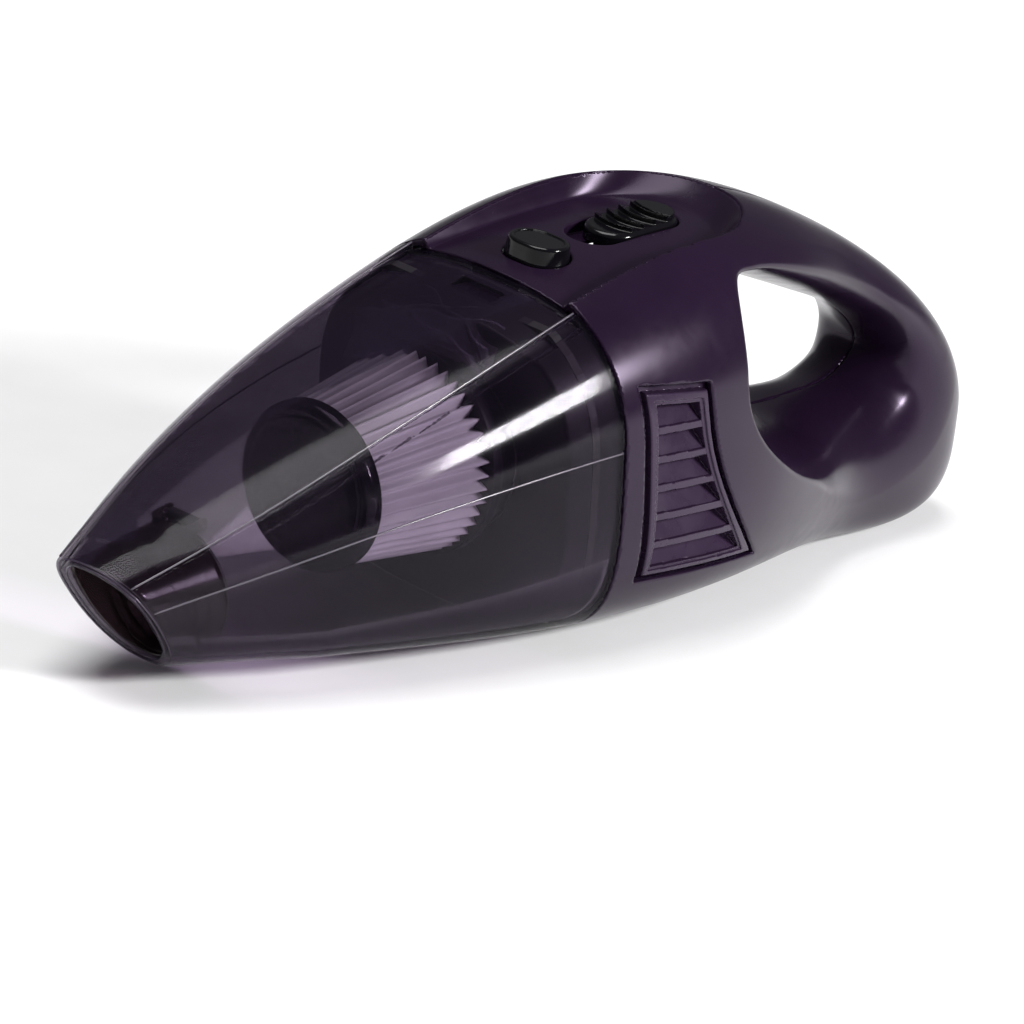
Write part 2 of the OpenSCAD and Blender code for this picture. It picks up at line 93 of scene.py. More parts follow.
def segment_coefficients():
    """Cubic coefficients of each segment, for mid point (x, z), height vector (x, z) and half width."""
    def flip(s):
        return np.array([s[2], s[3], s[0], s[1], -s[4]])

    rows = [2 * STATIONS[0] - STATIONS[1], *STATIONS, flip(STATIONS[LAST - 1]), flip(STATIONS[LAST - 2])]
    basis = np.array([[1, 4, 1, 0], [-3, 0, 3, 0], [3, -6, 3, 0], [-1, 3, -3, 1]]) / 6
    out = []
    for k in range(LAST):
        c = basis @ np.array(rows[k:k + 4])
        mid = (c[:, 0:2] + c[:, 2:4]) / 2
        out.append(np.hstack([mid, c[:, 0:2] - c[:, 2:4], c[:, 4:5]]))
    return np.array(out)


COEF = segment_coefficients()


def ring(u):
    """Mid point x, z, height vector x, z and half width of the ring at u, and their derivatives."""
    k = np.clip(np.floor(u).astype(int), 0, LAST - 1)
    t = (u - k)[..., None]
    c = COEF[k]
    value = c[..., 0, :] + t * (c[..., 1, :] + t * (c[..., 2, :] + t * c[..., 3, :]))
    slope = c[..., 1, :] + t * (2 * c[..., 2, :] + 3 * t * c[..., 3, :])
    return value, slope


class Rings:
    """The ring through each point (x, z).

    It gives v = (LAST - u)^2, the distance s along the ring from its middle, and their gradients.
    """

    def __init__(self, x, z):
        x, z = np.broadcast_arrays(np.asarray(x, float), np.asarray(z, float))
        self.shape = x.shape
        x, z = x.ravel(), z.ravel()
        v = self.guess(x, z)
        for _ in range(5):
            vc = np.maximum(v, LEAST_V)
            delta = np.sqrt(vc)
            val, der = ring(LAST - delta)
            h = np.hypot(val[:, 2], val[:, 3])
            ex, ez = val[:, 2] / h, val[:, 3] / h
            px, pz = ez, -ex
            dx, dz = x - val[:, 0], z - val[:, 1]
            m = dx * px + dz * pz
            h_u = der[:, 2] * ex + der[:, 3] * ez
            ex_u = (der[:, 2] - ex * h_u) / h
            ez_u = (der[:, 3] - ez * h_u) / h
            m_u = -der[:, 0] * px - der[:, 1] * pz + dx * ez_u - dz * ex_u
            m_v = m_u / (-2 * delta)
            m_v = np.where(np.abs(m_v) < 1e-4, 1e-4, m_v)
            v = vc - m / m_v
            v = np.clip(v, vc - 60, vc + 60)
        vc = np.maximum(v, LEAST_V)
        delta = np.sqrt(vc)
        val, der = ring(LAST - delta)
        h = np.hypot(val[:, 2], val[:, 3])
        ex, ez = val[:, 2] / h, val[:, 3] / h
        px, pz = ez, -ex
        dx, dz = x - val[:, 0], z - val[:, 1]
        h_u = der[:, 2] * ex + der[:, 3] * ez
        ex_u = (der[:, 2] - ex * h_u) / h
        ez_u = (der[:, 3] - ez * h_u) / h
        m_u = -der[:, 0] * px - der[:, 1] * pz + dx * ez_u - dz * ex_u
        m_v = m_u / (-2 * delta)
        self.v, self.delta = v, delta
        self.s = dx * ex + dz * ez
        s_u = -der[:, 0] * ex - der[:, 1] * ez + dx * ex_u + dz * ez_u
        self.v_x, self.v_z = -px / m_v, -pz / m_v
        u_v = -1 / (2 * delta)
        self.s_x = ex + s_u * u_v * self.v_x
        self.s_z = ez + s_u * u_v * self.v_z
        self.w, self.h = val[:, 4], h
        step = 1e-3
        ahead, _ = ring(LAST - (delta - step))
        self.wr, self.hr = self.w / delta, h / delta
        self.wr_v = (ahead[:, 4] / (delta - step) - self.wr) / step * u_v
        self.hr_v = (np.hypot(ahead[:, 2], ahead[:, 3]) / (delta - step) - self.hr) / step * u_v
        self.u = LAST - delta
        for name in ("v", "delta", "s", "v_x", "v_z", "s_x", "s_z",
                     "w", "h", "wr", "hr", "wr_v", "hr_v", "u"):
            setattr(self, name, getattr(self, name).reshape(self.shape))

    TABLE = None

    @classmethod
    def guess(cls, x, z):
        """A first value of v, from a table of the nearest ring on a coarse grid."""
        pitch, x0, z0 = 3.0, -210.0, -24.0
        if cls.TABLE is None:
            gx, gz = np.meshgrid(x0 + pitch * np.arange(142), z0 + pitch * np.arange(58), indexing="ij")
            u = np.linspace(0, LAST - 0.05, 480)
            val, _ = ring(u)
            h = np.hypot(val[:, 2], val[:, 3])
            ex, ez = val[:, 2] / h, val[:, 3] / h
            dx = gx[..., None] - val[:, 0]
            dz = gz[..., None] - val[:, 1]
            m = np.abs(dx * ez - dz * ex)
            over = np.maximum(np.abs(dx * ex + dz * ez) - 0.62 * h, 0)
            best = np.argmin(m + 1.5 * over, axis=-1)
            cls.TABLE = (LAST - u[best]) ** 2
        i = np.clip(np.rint((x - x0) / pitch).astype(int), 0, cls.TABLE.shape[0] - 1)
        j = np.clip(np.rint((z - z0) / pitch).astype(int), 0, cls.TABLE.shape[1] - 1)
        return cls.TABLE[i, j]


def lower_power(u):
    """Bluntness of the lower half of the cross-section; the mouth is rounder than the rest."""
    return MOUTH_N + (LOWER_N - MOUTH_N) * np.clip(u / 1.4, 0, 1)


def body_distance(rings, y):
    """Signed distance to the body's outer surface, exact to first order; negative inside."""
    ya = np.abs(y)
    sw = rings.s - (WAIST - 0.5) * rings.h
    up = sw >= 0
    n = np.where(up, UPPER_N, lower_power(rings.u))
    part = np.where(up, 1 - WAIST, WAIST)
    a = ya / np.maximum(rings.wr, 1e-3)
    hb = np.maximum(rings.hr, 1e-3) * part
    b = np.abs(sw) / hb
    an = np.power(a + 1e-9, n)
    bn = np.power(b + 1e-9, n)
    r = np.power(an + bn, 1 / n)
    f = r * r - rings.v
    k = 2 * r * r / (an + bn)
    f_y = k * an / (ya + 1e-6)
    f_sw = k * bn / (np.abs(sw) + 1e-6) * np.where(up, 1, -1)
    h_v = rings.hr_v * rings.delta + rings.hr / (2 * rings.delta)
    f_v = -k * an * rings.wr_v / rings.wr - k * bn * rings.hr_v / rings.hr - 1 - f_sw * (WAIST - 0.5) * h_v
    g_x = f_sw * rings.s_x + f_v * rings.v_x
    g_z = f_sw * rings.s_z + f_v * rings.v_z
    g = np.sqrt(f_y * f_y + g_x * g_x + g_z * g_z) + 1e-9
    return f / g


def body_field(rings, y):
    """The same, with the value deep inside held level."""
    return np.maximum(body_distance(rings, y), -DEEP)


# ---- shaping fields

def both(a, b, radius):
    """Intersection of two solids with the edge rounded to radius."""
    if np.isscalar(radius) and radius <= 0:
        return np.maximum(a, b)
    p = np.maximum(a + radius, 0)
    q = np.maximum(b + radius, 0)
    return np.minimum(-radius, np.maximum(a, b)) + np.hypot(p, q)


def either(a, b, radius):
    """Union of two solids with the inner corner filled to radius."""
    return -both(-a, -b, radius)


def polygon_distance(x, z, points):
    """Signed distance in a plane to a closed polygon; negative inside."""
    d = np.full(np.broadcast(x, z).shape, FAR)
    inside = np.zeros(d.shape, bool)
    for (ax, az), (bx, bz) in zip(points, points[1:] + points[:1]):
        ex, ez = bx - ax, bz - az
        wx, wz = x - ax, z - az
        t = np.clip((wx * ex + wz * ez) / (ex * ex + ez * ez), 0, 1)
        d = np.minimum(d, np.hypot(wx - ex * t, wz - ez * t))
        crosses = (az <= z) != (bz <= z)
        side = ex * wz - ez * wx
        inside ^= crosses & np.where(bz > az, side > 0, side < 0)
    return np.where(inside, -d, d)


def smooth_step(t):
    t = np.clip(t, 0, 1)
    return t * t * (3 - 2 * t)


# ---- meshing

def gradient_normals(field, p, step=0.04):
    """Unit gradient of a field at points, from four samples round each."""
    k = np.array([[1, -1, -1], [-1, -1, 1], [-1, 1, -1], [1, 1, 1]], float)
    g = sum(d * field(p + d * step)[:, None] for d in k)
    return g / (np.linalg.norm(g, axis=1)[:, None] + 1e-12)


def mesh_field(name, field, low, high, pitch, adaptivity=0.0):
    """Meshes the zero level of field(points) inside a box and moves the points onto the exact surface."""
    low, high = np.array(low, float), np.array(high, float)
    n = np.ceil((high - low) / pitch).astype(int) + 1
    axes = [low[i] + pitch * np.arange(n[i]) for i in range(3)]
    values = np.empty(n, np.float32)
    x, z = np.meshgrid(axes[0], axes[2], indexing="ij")
    rings = Rings(x, z) if field.needs_rings else None
    for j, y in enumerate(axes[1]):
        values[:, j, :] = field.on_plane(rings, x, y, z)
    grid = openvdb.FloatGrid(background=float(pitch * 3))
    grid.copyFromArray(np.clip(values, -3 * pitch, 3 * pitch), tolerance=0.0)
    points, tris, quads = grid.convertToPolygons(isovalue=0.0, adaptivity=adaptivity)
    points = low + np.array(points, float) * pitch
    for _ in range(3):
        normals = gradient_normals(field, points)
        shift = np.clip(field(points), -0.5 * pitch, 0.5 * pitch)
        points = points - normals * shift[:, None]
    normals = gradient_normals(field, points)
    faces = [tuple(int(i) for i in f) for f in quads] + [tuple(int(i) for i in f) for f in tris]
    return make_piece(name, points, faces, normals)


def add_object(name, data):
    """Puts a mesh, light or camera into the scene."""
    item = bpy.data.objects.new(name, data)
    bpy.context.scene.collection.objects.link(item)
    return item


def make_piece(name, points, faces, normals=None):
    """A mesh object from points in millimetres, with smooth faces and optional exact normals."""
    mesh = bpy.data.meshes.new(name)
    mesh.from_pydata((np.asarray(points) * MM).tolist(), [], faces)
    mesh.validate(clean_customdata=False)
    mesh.polygons.foreach_set("use_smooth", [True] * len(mesh.polygons))
    piece = add_object(name, mesh)
    if normals is not None and len(mesh.vertices) == len(normals):
        mesh.normals_split_custom_set_from_vertices([tuple(n) for n in normals])
    return piece


class Field:
    """A solid given by a function of the rings, x, y and z."""

    def __init__(self, function, needs_rings=True):
        self.function, self.needs_rings = function, needs_rings

    def on_plane(self, rings, x, y, z):
        return self.function(rings, x, np.full(x.shape, y), z)

    def __call__(self, p):
        rings = Rings(p[:, 0], p[:, 2]) if self.needs_rings else None
        return self.function(rings, p[:, 0], p[:, 1], p[:, 2])


# ---- housing

# Outline of the handle's hole in the middle plane and on the body's surface, as points (x, z)
THROAT = [(31.6, 88), (32, 96.5), (36.5, 101.8), (46, 101.2), (60, 96.5), (80, 89.5),
          (100, 82.5), (122, 74.5), (138, 66.5), (146, 57), (137, 47), (118, 44.2),
          (98, 44), (78, 50), (58, 58.5), (41, 66), (33.2, 75)]
RIM = [(28.6, 86), (29.5, 99), (34.5, 108.5), (46, 109.5), (62, 107.5), (82, 102),
       (104, 94), (128, 83), (150, 68), (162, 50), (156, 35), (134, 27),
       (110, 28.5), (86, 36), (64, 45), (44, 58), (32, 72)]
RECESS_HALF, RECESS_ROUND_X, RECESS_ROUND = 28.5, 31.0, 36.0
SCREW_SPOTS = [(20, 9), (57, 12), (138, 14), (162, 44), (84, 102)]
JACK_Z, JACK_R = 24.0, 5.4
BOSS_R, HEAD_R, HEAD_DEPTH = 4.6, 3.1, 6.0


class PlaneMap:
    """A function of (x, z) sampled on a grid and read back through a smooth cubic B-spline."""

    def __init__(self, function, low=(-5.0, -10.0), high=(200.0, 130.0), pitch=1.0):
        self.low, self.pitch = low, pitch
        x = np.arange(low[0], high[0], pitch)
        z = np.arange(low[1], high[1], pitch)
        gx, gz = np.meshgrid(x, z, indexing="ij")
        self.table = function(gx, gz)

    def __call__(self, x, z):
        cells, weights = [], []
        for value, low, n in ((x, self.low[0], self.table.shape[0]), (z, self.low[1], self.table.shape[1])):
            f = np.clip((value - low) / self.pitch, 1, n - 2.001)
            i = np.floor(f).astype(int)
            t = f - i
            cells.append(i)
            weights.append([(1 - t) ** 3 / 6, (3 * t ** 3 - 6 * t ** 2 + 4) / 6,
                            (-3 * t ** 3 + 3 * t ** 2 + 3 * t + 1) / 6, t ** 3 / 6])
        out = 0.0
        for a in range(4):
            row = cells[0] + a - 1
            for b in range(4):
                out = out + weights[0][a] * weights[1][b] * self.table[row, cells[1] + b - 1]
        return out


def closed_curve(points, steps=8):
    """Points of a smooth closed curve through the given ones."""
    p = np.array(points, float)
    before, after, beyond = np.roll(p, 1, 0), np.roll(p, -1, 0), np.roll(p, -2, 0)
    out = []
    for t in np.linspace(0, 1, steps, endpoint=False):
        out.append(0.5 * (2 * p + (after - before) * t + (2 * before - 5 * p + 4 * after - beyond) * t ** 2
                          + (3 * p - before - 3 * after + beyond) * t ** 3))
    return [tuple(q) for q in np.stack(out, axis=1).reshape(-1, 2)]


THROAT_MAP = PlaneMap(lambda x, z: polygon_distance(x, z, closed_curve(THROAT)))
RIM_MAP = PlaneMap(lambda x, z: polygon_distance(x, z, closed_curve(RIM)))
FLARE_KEEP = 0.93


def hole_distance(rings, x, y, z):
    """Distance to the handle's hole, which widens from its throat to its rim on both sides."""
    throat = THROAT_MAP(x, z)
    flare = throat - RIM_MAP(x, z)
    sw = rings.s - (WAIST - 0.5) * rings.h
    n = np.where(sw >= 0, UPPER_N, LOWER_N)
    b = np.abs(sw) / (rings.h * np.where(sw >= 0, 1 - WAIST, WAIST))
    local = rings.w * np.power(np.clip(1 - b ** n, 0.004, 1), 1 / n)
    q = np.minimum(FLARE_KEEP * np.abs(y) / local, 0.94)
    root = np.sqrt(1 - q * q)
    full = 1 - math.sqrt(1 - FLARE_KEEP ** 2)
    slope = flare / full * q / root * FLARE_KEEP / np.maximum(local, 0.45 * rings.w)
    far = throat - flare * (1 - root) / full
    return far / np.sqrt(1 + slope ** 2 / (1 + (far / 4) ** 2))


def recess_plan(x, y):
    """Distance to the U-shaped outline of the recess, and how far the point is towards its round end."""
    dx = np.maximum(x - RECESS_ROUND_X, 0)
    ya = np.abs(y)
    rho = np.hypot(dx / RECESS_ROUND, ya / RECESS_HALF)
    g = np.hypot(dx / RECESS_ROUND ** 2, ya / RECESS_HALF ** 2) / (rho + 1e-9)
    d = (rho - 1) / np.maximum(g, 1 / RECESS_ROUND)
    end = (dx / RECESS_ROUND / (rho + 1e-9)) ** 2
    return d, end


def floor_height(x, y):
    return 109.5 + 0.115 * x - 0.0012 * x * x - 3 * (y / 28) ** 2


def recess_top(body, x, y, z):
    """Surface of the recess: a flat floor that ramps up to the body at its border."""
    d, end = recess_plan(x, y)
    width = 2.6 + 10.5 * end
    t = np.clip(1 + d / width, 0, 1)
    floor = floor_height(x, y)
    share = t * t * (1.5 - 0.5 * t)
    return (1 - share) * (z - floor) + share * body, d


def bezier(a, b, c, n=10):
    """Points of a quadratic curve from a to c that leans towards b."""
    t = np.linspace(0, 1, n)[:, None]
    a, b, c = np.array(a), np.array(b), np.array(c)
    return [tuple(p) for p in (1 - t) ** 2 * a + 2 * t * (1 - t) * b + t ** 2 * c]


VENT_OUTLINE = [(-17.4, 85.4)] + bezier((11.5, 83.6), (16.5, 52.3), (52.6, 21.3)) + [(-4.2, 22.3)]


def seam_offset(x, z, u=SEAM_U):
    """How far a point lies behind the ring plane at u."""
    val, _ = ring(np.array([u]))
    h = math.hypot(val[0, 2], val[0, 3])
    ex, ez = val[0, 2] / h, val[0, 3] / h
    return (x - val[0, 0]) * ez - (z - val[0, 1]) * ex


def housing_solid(side):
    """Field of one housing shell; side is -1 for the left one and 1 for the right one."""

    def field(rings, x, y, z):
        body = body_field(rings, y)
        hole = hole_distance(rings, x, y, z)
        low = smooth_step((80 - z) / 24)
        edge = 1.0 + 6.0 * low * smooth_step((x - 78) / 50) + 1.6 * smooth_step((z - 84) / 20)
        skin = both(body, -hole, edge)
        outer = both(skin, -z, 1.2)
        plan, _ = recess_plan(x, y)
        shaft = np.maximum(plan, 92 - z)
        outer = both(outer, -shaft, 0.6)
        outer = both(outer, -polygon_distance(x, z, VENT_OUTLINE), 0.7)
        outer = both(outer, SEAM_GAP - seam_offset(x, z), 0.5)
        jack = np.maximum(np.hypot(y, z - JACK_Z) - JACK_R, 170 - x)
        outer = both(outer, -jack, 0.6)
        cavity = np.maximum(skin + WALL, WALL - z)
        bosses = np.minimum.reduce([np.hypot(x - sx, z - sz) for sx, sz in SCREW_SPOTS]) - BOSS_R
        cavity = np.maximum(cavity, -bosses)
        shell = np.maximum(outer, -cavity)
        if side > 0:
            heads = np.maximum(bosses + BOSS_R - HEAD_R, HEAD_DEPTH - y)
            shell = both(shell, -heads, 0.4)
        return both(shell, 0.03 - side * y, 0.5)

    return Field(field)


def finish_piece(piece, body, nodes, material):
    """Gives a piece its body, the CAD nodes that it stands for and its material."""
    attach(piece, body)
    if nodes:
        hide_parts(*nodes)
    piece.data.materials.clear()
    piece.data.materials.append(material)
    return piece


def make_housing(material):
    pitch = 0.9 if FINE else 1.8
    for side, name, node in ((-1, "left_housing_shell", "housing_left"),
                             (1, "right_housing_shell", "housing_right")):
        lo, hi = (-60, 1) if side < 0 else (-1, 60)
        piece = mesh_field(name, housing_solid(side), (-34, lo, -3), (193, hi, 122), pitch)
        finish_piece(piece, "housing", [node], material)


# ---- vent grilles

VENT_FRAME = [(-14.4, 83.0)] + bezier((10.6, 81.4), (15.6, 51.9), (50.0, 22.7)) + [(-1.4, 23.7)]
VENT_STEP = [(-11.2, 80.4)] + bezier((8.9, 79.2), (14.8, 53.0), (44.2, 24.6)) + [(0.2, 25.4)]
VENT_WINDOW = [(-9.6, 79.0)] + bezier((8.0, 77.9), (14.2, 53.3), (42.4, 25.6)) + [(1.5, 26.3)]
SLAT_TOP, SLAT_PITCH, SLAT_RISE, SLAT_RUN = 71.0, 9.3, 8.4, 6.2
SLATS = 6


def grille_solid(side):
    """Field of one louvre insert: a frame in the housing's opening and sloping slats across its window."""

    def field(rings, x, y, z):
        body = body_field(rings, y)
        depth = -body
        frame_edge = polygon_distance(x, z, VENT_FRAME)
        step_edge = polygon_distance(x, z, VENT_STEP)
        window = polygon_distance(x, z, VENT_WINDOW)
        face = both(frame_edge, 0.4 - depth, 0.6)
        face = both(face, -both(step_edge, depth - 1.1, 0.3), 0.25)
        plate = np.maximum(face, depth - 5.5)
        flange = np.maximum(np.maximum(frame_edge - 2.2, 3.0 - depth), depth - 4.2)
        ring_solid = np.minimum(plate, flange)
        ring_solid = both(ring_solid, -window, 0.3)
        reveal = np.maximum(np.abs(window - 0.5) - 0.5, np.maximum(1.2 - depth, depth - 8.0))
        shape = np.minimum(ring_solid, reveal)
        slat_length = math.hypot(SLAT_RISE, SLAT_RUN)
        slats = np.full(body.shape, FAR)
        for i in range(SLATS):
            dz = z - (SLAT_TOP - i * SLAT_PITCH) + 0.9
            dd = depth - 1.5
            along = (dz * SLAT_RISE + dd * SLAT_RUN) / slat_length
            off = np.abs(dd * SLAT_RISE - dz * SLAT_RUN) / slat_length
            slat = np.maximum(off - 0.75, np.maximum(-along, along - slat_length))
            lip = np.maximum(np.abs(z - (SLAT_TOP - i * SLAT_PITCH)) - 1.2, np.abs(depth - 1.9) - 0.6)
            slats = np.minimum(slats, np.minimum(np.maximum(slat, 1.3 - depth), lip))
        slats = np.maximum(slats, window - 0.2)
        shape = np.minimum(shape, slats)
        return np.maximum(shape, 20 - side * y)

    return Field(field)


def make_grilles(material):
    """The two louvre inserts."""
    pitch = 0.45 if FINE else 0.8
    for side, name, node in ((-1, "left_vent_louvres", "vent_grille_left"),
                             (1, "right_vent_louvres", "vent_grille_right")):
        lo, hi = (-59, -36) if side < 0 else (36, 59)
        piece = mesh_field(name, grille_solid(side), (-19, lo, 19), (54, hi, 88), pitch)
        finish_piece(piece, "housing", [node], material)


# ---- control panel, button and slider

BUTTON = dict(x=-10.0, r=8.2, half=2.0, top=112.7)
KNOB = dict(x0=14.5, x1=47.5, r=8.5, base=107.6)
TRAVEL, GAP = 8.0, 0.4
# How far the tray lies under the housing's skin, reaches in under its edge, and how thick it is
TRAY_DEEP, TRAY_REACH, TRAY_SKIN = 0.45, 1.2, 2.8


def stadium_x(x, y, x0, x1, r):
    """Distance to a stadium along X."""
    mid, half = (x0 + x1) / 2, (x1 - x0) / 2 - r
    return np.hypot(np.maximum(np.abs(x - mid) - half, 0), y) - r


def button_plan(x, y):
    return np.hypot(x - BUTTON["x"], np.maximum(np.abs(y) - BUTTON["half"], 0)) - BUTTON["r"]


def panel_solid(rings, x, y, z):
    body = body_field(rings, y)
    top, plan = recess_top(body, x, y, z)
    face = np.maximum(top, body + TRAY_DEEP)
    shape = np.maximum(np.maximum(face, plan - TRAY_REACH), -face - TRAY_SKIN)
    pocket = stadium_x(x, y, KNOB["x0"] - TRAVEL - GAP, KNOB["x1"] + GAP, KNOB["r"] + GAP)
    tub = np.maximum(np.maximum(pocket - 1.2, z - floor_height(x, y) + 0.6), KNOB["base"] - GAP - 1.4 - z)
    shape = np.minimum(shape, tub)
    shape = both(shape, -np.maximum(pocket, KNOB["base"] - GAP - z), 0.6)
    shape = both(shape, -(button_plan(x, y) - GAP), 0.6)
    slot = stadium_x(x, y, 8.5, 23.5, 3.0)
    shape = np.maximum(shape, -slot)
    return both(shape, SEAM_GAP - seam_offset(x, z), 0.3)


def button_solid(rings, x, y, z):
    plan = button_plan(x, y)
    top = BUTTON["top"]
    flare = 0.12 * np.clip(top - z, 0, 6)
    shape = both(plan + 0.6 - flare, z - top, 0.8)
    dish = np.maximum(plan + 2.2, top - 0.35 - z)
    shape = both(np.maximum(shape, plan), -dish, 0.25)
    flange = np.maximum(plan - 1.0, np.abs(z - 102.85) - 0.65)
    return np.minimum(np.maximum(shape, 102.2 - z), flange)


def knob_solid(rings, x, y, z):
    x0, x1, r = KNOB["x0"], KNOB["x1"], KNOB["r"]
    plan = stadium_x(x, y, x0, x1, r)
    t = (x - x0) / (x1 - x0)
    deck = 111.8 + 1.4 * smooth_step(t * 1.3)
    shape = both(plan, z - deck, 1.5)
    ribs = np.full(x.shape, FAR)
    for i in range(4):
        nose = x0 + 6.2 + 5.2 * i
        bow = np.hypot(x - nose - 14.0, y) - 14.0
        across = np.maximum(bow - 0.1, -(bow + 2.2))
        crest = deck + 1.5 + 0.1 * i - 0.62 * np.clip(-bow, 0, 3)
        ribs = np.minimum(ribs, np.maximum(np.maximum(across, plan + 1.1), z - crest))
    plateau = np.maximum(np.maximum(np.hypot(x - x1 - 6.0, y) - 15.5, plan + 1.3), z - deck - 1.6)
    shape = either(shape, np.maximum(ribs, 109 - z), 0.3)
    shape = either(shape, np.maximum(plateau, 109 - z), 0.3)
    shape = both(shape, z - 115.3, 0.3)
    return np.maximum(shape, KNOB["base"] - z)


def make_controls(panel_material, black):
    panel = mesh_field("control_tray", Field(panel_solid), (-34, -30, 98), (69, 30, 121),
                       0.6 if FINE else 1.2)
    finish_piece(panel, "housing", ["control_panel"], panel_material)
    button = mesh_field("release_button_cap", Field(button_solid, False), (-23, -15, 101), (3, 15, 115),
                        0.35 if FINE else 0.7)
    finish_piece(button, "button", ["release_button"], black)
    knob = mesh_field("slider_knob_grip", Field(knob_solid, False), (13, -11, 106.5), (49, 11, 117),
                      0.35 if FINE else 0.7)
    finish_piece(knob, "slider", ["slider_knob"], black)


# ---- dust cup

CREASE = (46.0, 58.0)
LOW_CREASE = (14.0, 3.0)
LINE_R = 0.3
PANEL_STEP = (0.6, 2.5)
PANEL_KEEP = (0.9, 0.62)
RIM_WALL, RIM_U = 3.2, 0.3
TAB = dict(x0=-37.0, x1=-22.0, half=8.0, z0=99.4, z1=101.4)


def box_distance(x, y, z, low, high):
    return np.maximum.reduce([low[0] - x, x - high[0], low[1] - y, y - high[1], low[2] - z, z - high[2]])


# Folds of the latch guard: place along X, skew across, lean, depth
GUARD_FOLDS = [(-46.0, 0.42, 0.5, 11.0), (-50.0, -0.35, -0.35, 14.0), (-58.0, 0.2, 0.8, 10.0),
               (-45.0, -0.75, 0.2, 9.0)]


def blend_u(pair, m):
    return pair[0] + (pair[1] - pair[0]) * m


def crease_point(u, w, h, angles):
    """Where a line that runs from the nozzle to the cup's rear crosses each ring: half width and height."""
    angle = np.radians(blend_u(angles, np.clip(u / SEAM_U, 0, 1.05)))
    across = w * np.cos(angle) ** (2 / UPPER_N)
    return across, h * (WAIST + (1 - WAIST) * np.sin(angle) ** (2 / UPPER_N))


def cup_skin(rings, y, inset, edge=1.0):
    """Solid of the cup set in by inset: the body with the sunk panel taken out of its top."""
    m = np.clip(rings.u / SEAM_U, 0, 1.05)
    w, h = rings.w, rings.h
    crease_y, crease_s = crease_point(rings.u, w, h, CREASE)
    share = np.clip(np.abs(y) / w, 0, 0.995)
    crown = h * (WAIST + (1 - WAIST) * (1 - share ** UPPER_N) ** (1 / UPPER_N))
    fade = smooth_step((rings.u - 0.1) / 0.5)
    sunk = crease_s - blend_u(PANEL_STEP, m) + blend_u(PANEL_KEEP, m) * (crown - crease_s)
    panel = crown + (sunk - crown) * fade - inset
    over = rings.s + h / 2 - panel
    space = np.maximum(np.abs(y) - crease_y - inset, -over)
    body = body_field(rings, y) + inset
    return both(body, -space, edge)


def cup_solid(rings, x, y, z):
    mouth = -seam_offset(x, z, 0.0)
    shape = both(cup_skin(rings, y, 0.0), mouth, 1.4)
    shape = both(shape, seam_offset(x, z), 0.35)
    behind_rim = -seam_offset(x, z, RIM_U)
    cavity = np.maximum(cup_skin(rings, y, CUP_WALL), behind_rim)
    bore = body_field(rings, y) + RIM_WALL
    cavity = np.minimum(cavity, np.maximum(bore, -behind_rim - 1.0))
    shape = both(shape, -cavity, 0.5)
    tab = box_distance(x, y, z, (TAB["x0"], -TAB["half"], TAB["z0"]), (TAB["x1"], TAB["half"], TAB["z1"]))
    slot = box_distance(x, y, z, (-29, -4.6, 98), (-24, 4.6, 103))
    shape = np.minimum(shape, both(tab, -slot, 0.2))
    return shape


def guard_solid(rings, x, y, z):
    """Thin clear folds under the top panel that keep dust off the latch. The folds are a guessed shape, and
    their light milky haze is a painted glint along them.
    """
    inside = cup_skin(rings, y, CUP_WALL + 0.3)
    shape = np.full(x.shape, FAR)
    for px, slope, turn, drop in GUARD_FOLDS:
        bend = 1.1 * np.sin(0.35 * y + px)
        across = (x - px - slope * y - bend + turn * (z - 96)) / math.sqrt(1 + slope ** 2 + turn ** 2)
        fold = np.maximum(np.abs(across) - 0.45, inside)
        fold = np.maximum(fold, 104.5 - drop + 0.42 * (x + 36) - 0.006 * y * y - z)
        shape = np.minimum(shape, np.maximum(fold, np.abs(y + 3 * slope) - 21))
    return np.maximum(shape, x + 40.5)


def on_rings(u, across, up):
    """Points in space from distances across and heights above each ring's lowest point."""
    val, _ = ring(u)
    share = up / np.hypot(val[:, 2], val[:, 3]) - 0.5
    return np.stack([val[:, 0] + share * val[:, 2], across, val[:, 1] + share * val[:, 3]], axis=1)


def cord(points, aside, radius, closed, sides=8):
    """A slim round ridge along a line of points; aside is a direction that the line never takes."""
    ahead = np.roll(points, -1, 0) - np.roll(points, 1, 0)
    if not closed:
        ahead[0], ahead[-1] = points[1] - points[0], points[-1] - points[-2]
    ahead /= np.linalg.norm(ahead, axis=1)[:, None]
    second = np.cross(ahead, aside)
    second /= np.linalg.norm(second, axis=1)[:, None]
    first = np.cross(second, ahead)
    turn = 2 * math.pi * np.arange(sides) / sides
    rows = [points + radius * (math.cos(a) * first + math.sin(a) * second) for a in turn]
    faces = grid_faces(len(points), sides, True) if closed else rod_faces(len(points), sides)
    piece = make_piece("ridge", np.stack(rows, axis=1).reshape(-1, 3), faces)
    tidy_mesh(piece, 0.001)
    return piece


def mouth_loop(inset, u=0.03, steps=120):
    """Closed line around the nozzle's mouth, set in from the cup's skin."""
    a = np.linspace(0, 2 * math.pi, steps, endpoint=False)
    val, _ = ring(np.full(steps, u))
    h, w = np.hypot(val[:, 2], val[:, 3]), val[:, 4]
    across = (w - inset) * np.sign(np.cos(a)) * np.abs(np.cos(a)) ** (2 / MOUTH_N)
    rise = np.where(np.sin(a) > 0, 1 - WAIST, WAIST) * h - inset
    up = WAIST * h + rise * np.sign(np.sin(a)) * np.abs(np.sin(a)) ** (2 / MOUTH_N)
    return on_rings(np.full(steps, u), across, up)


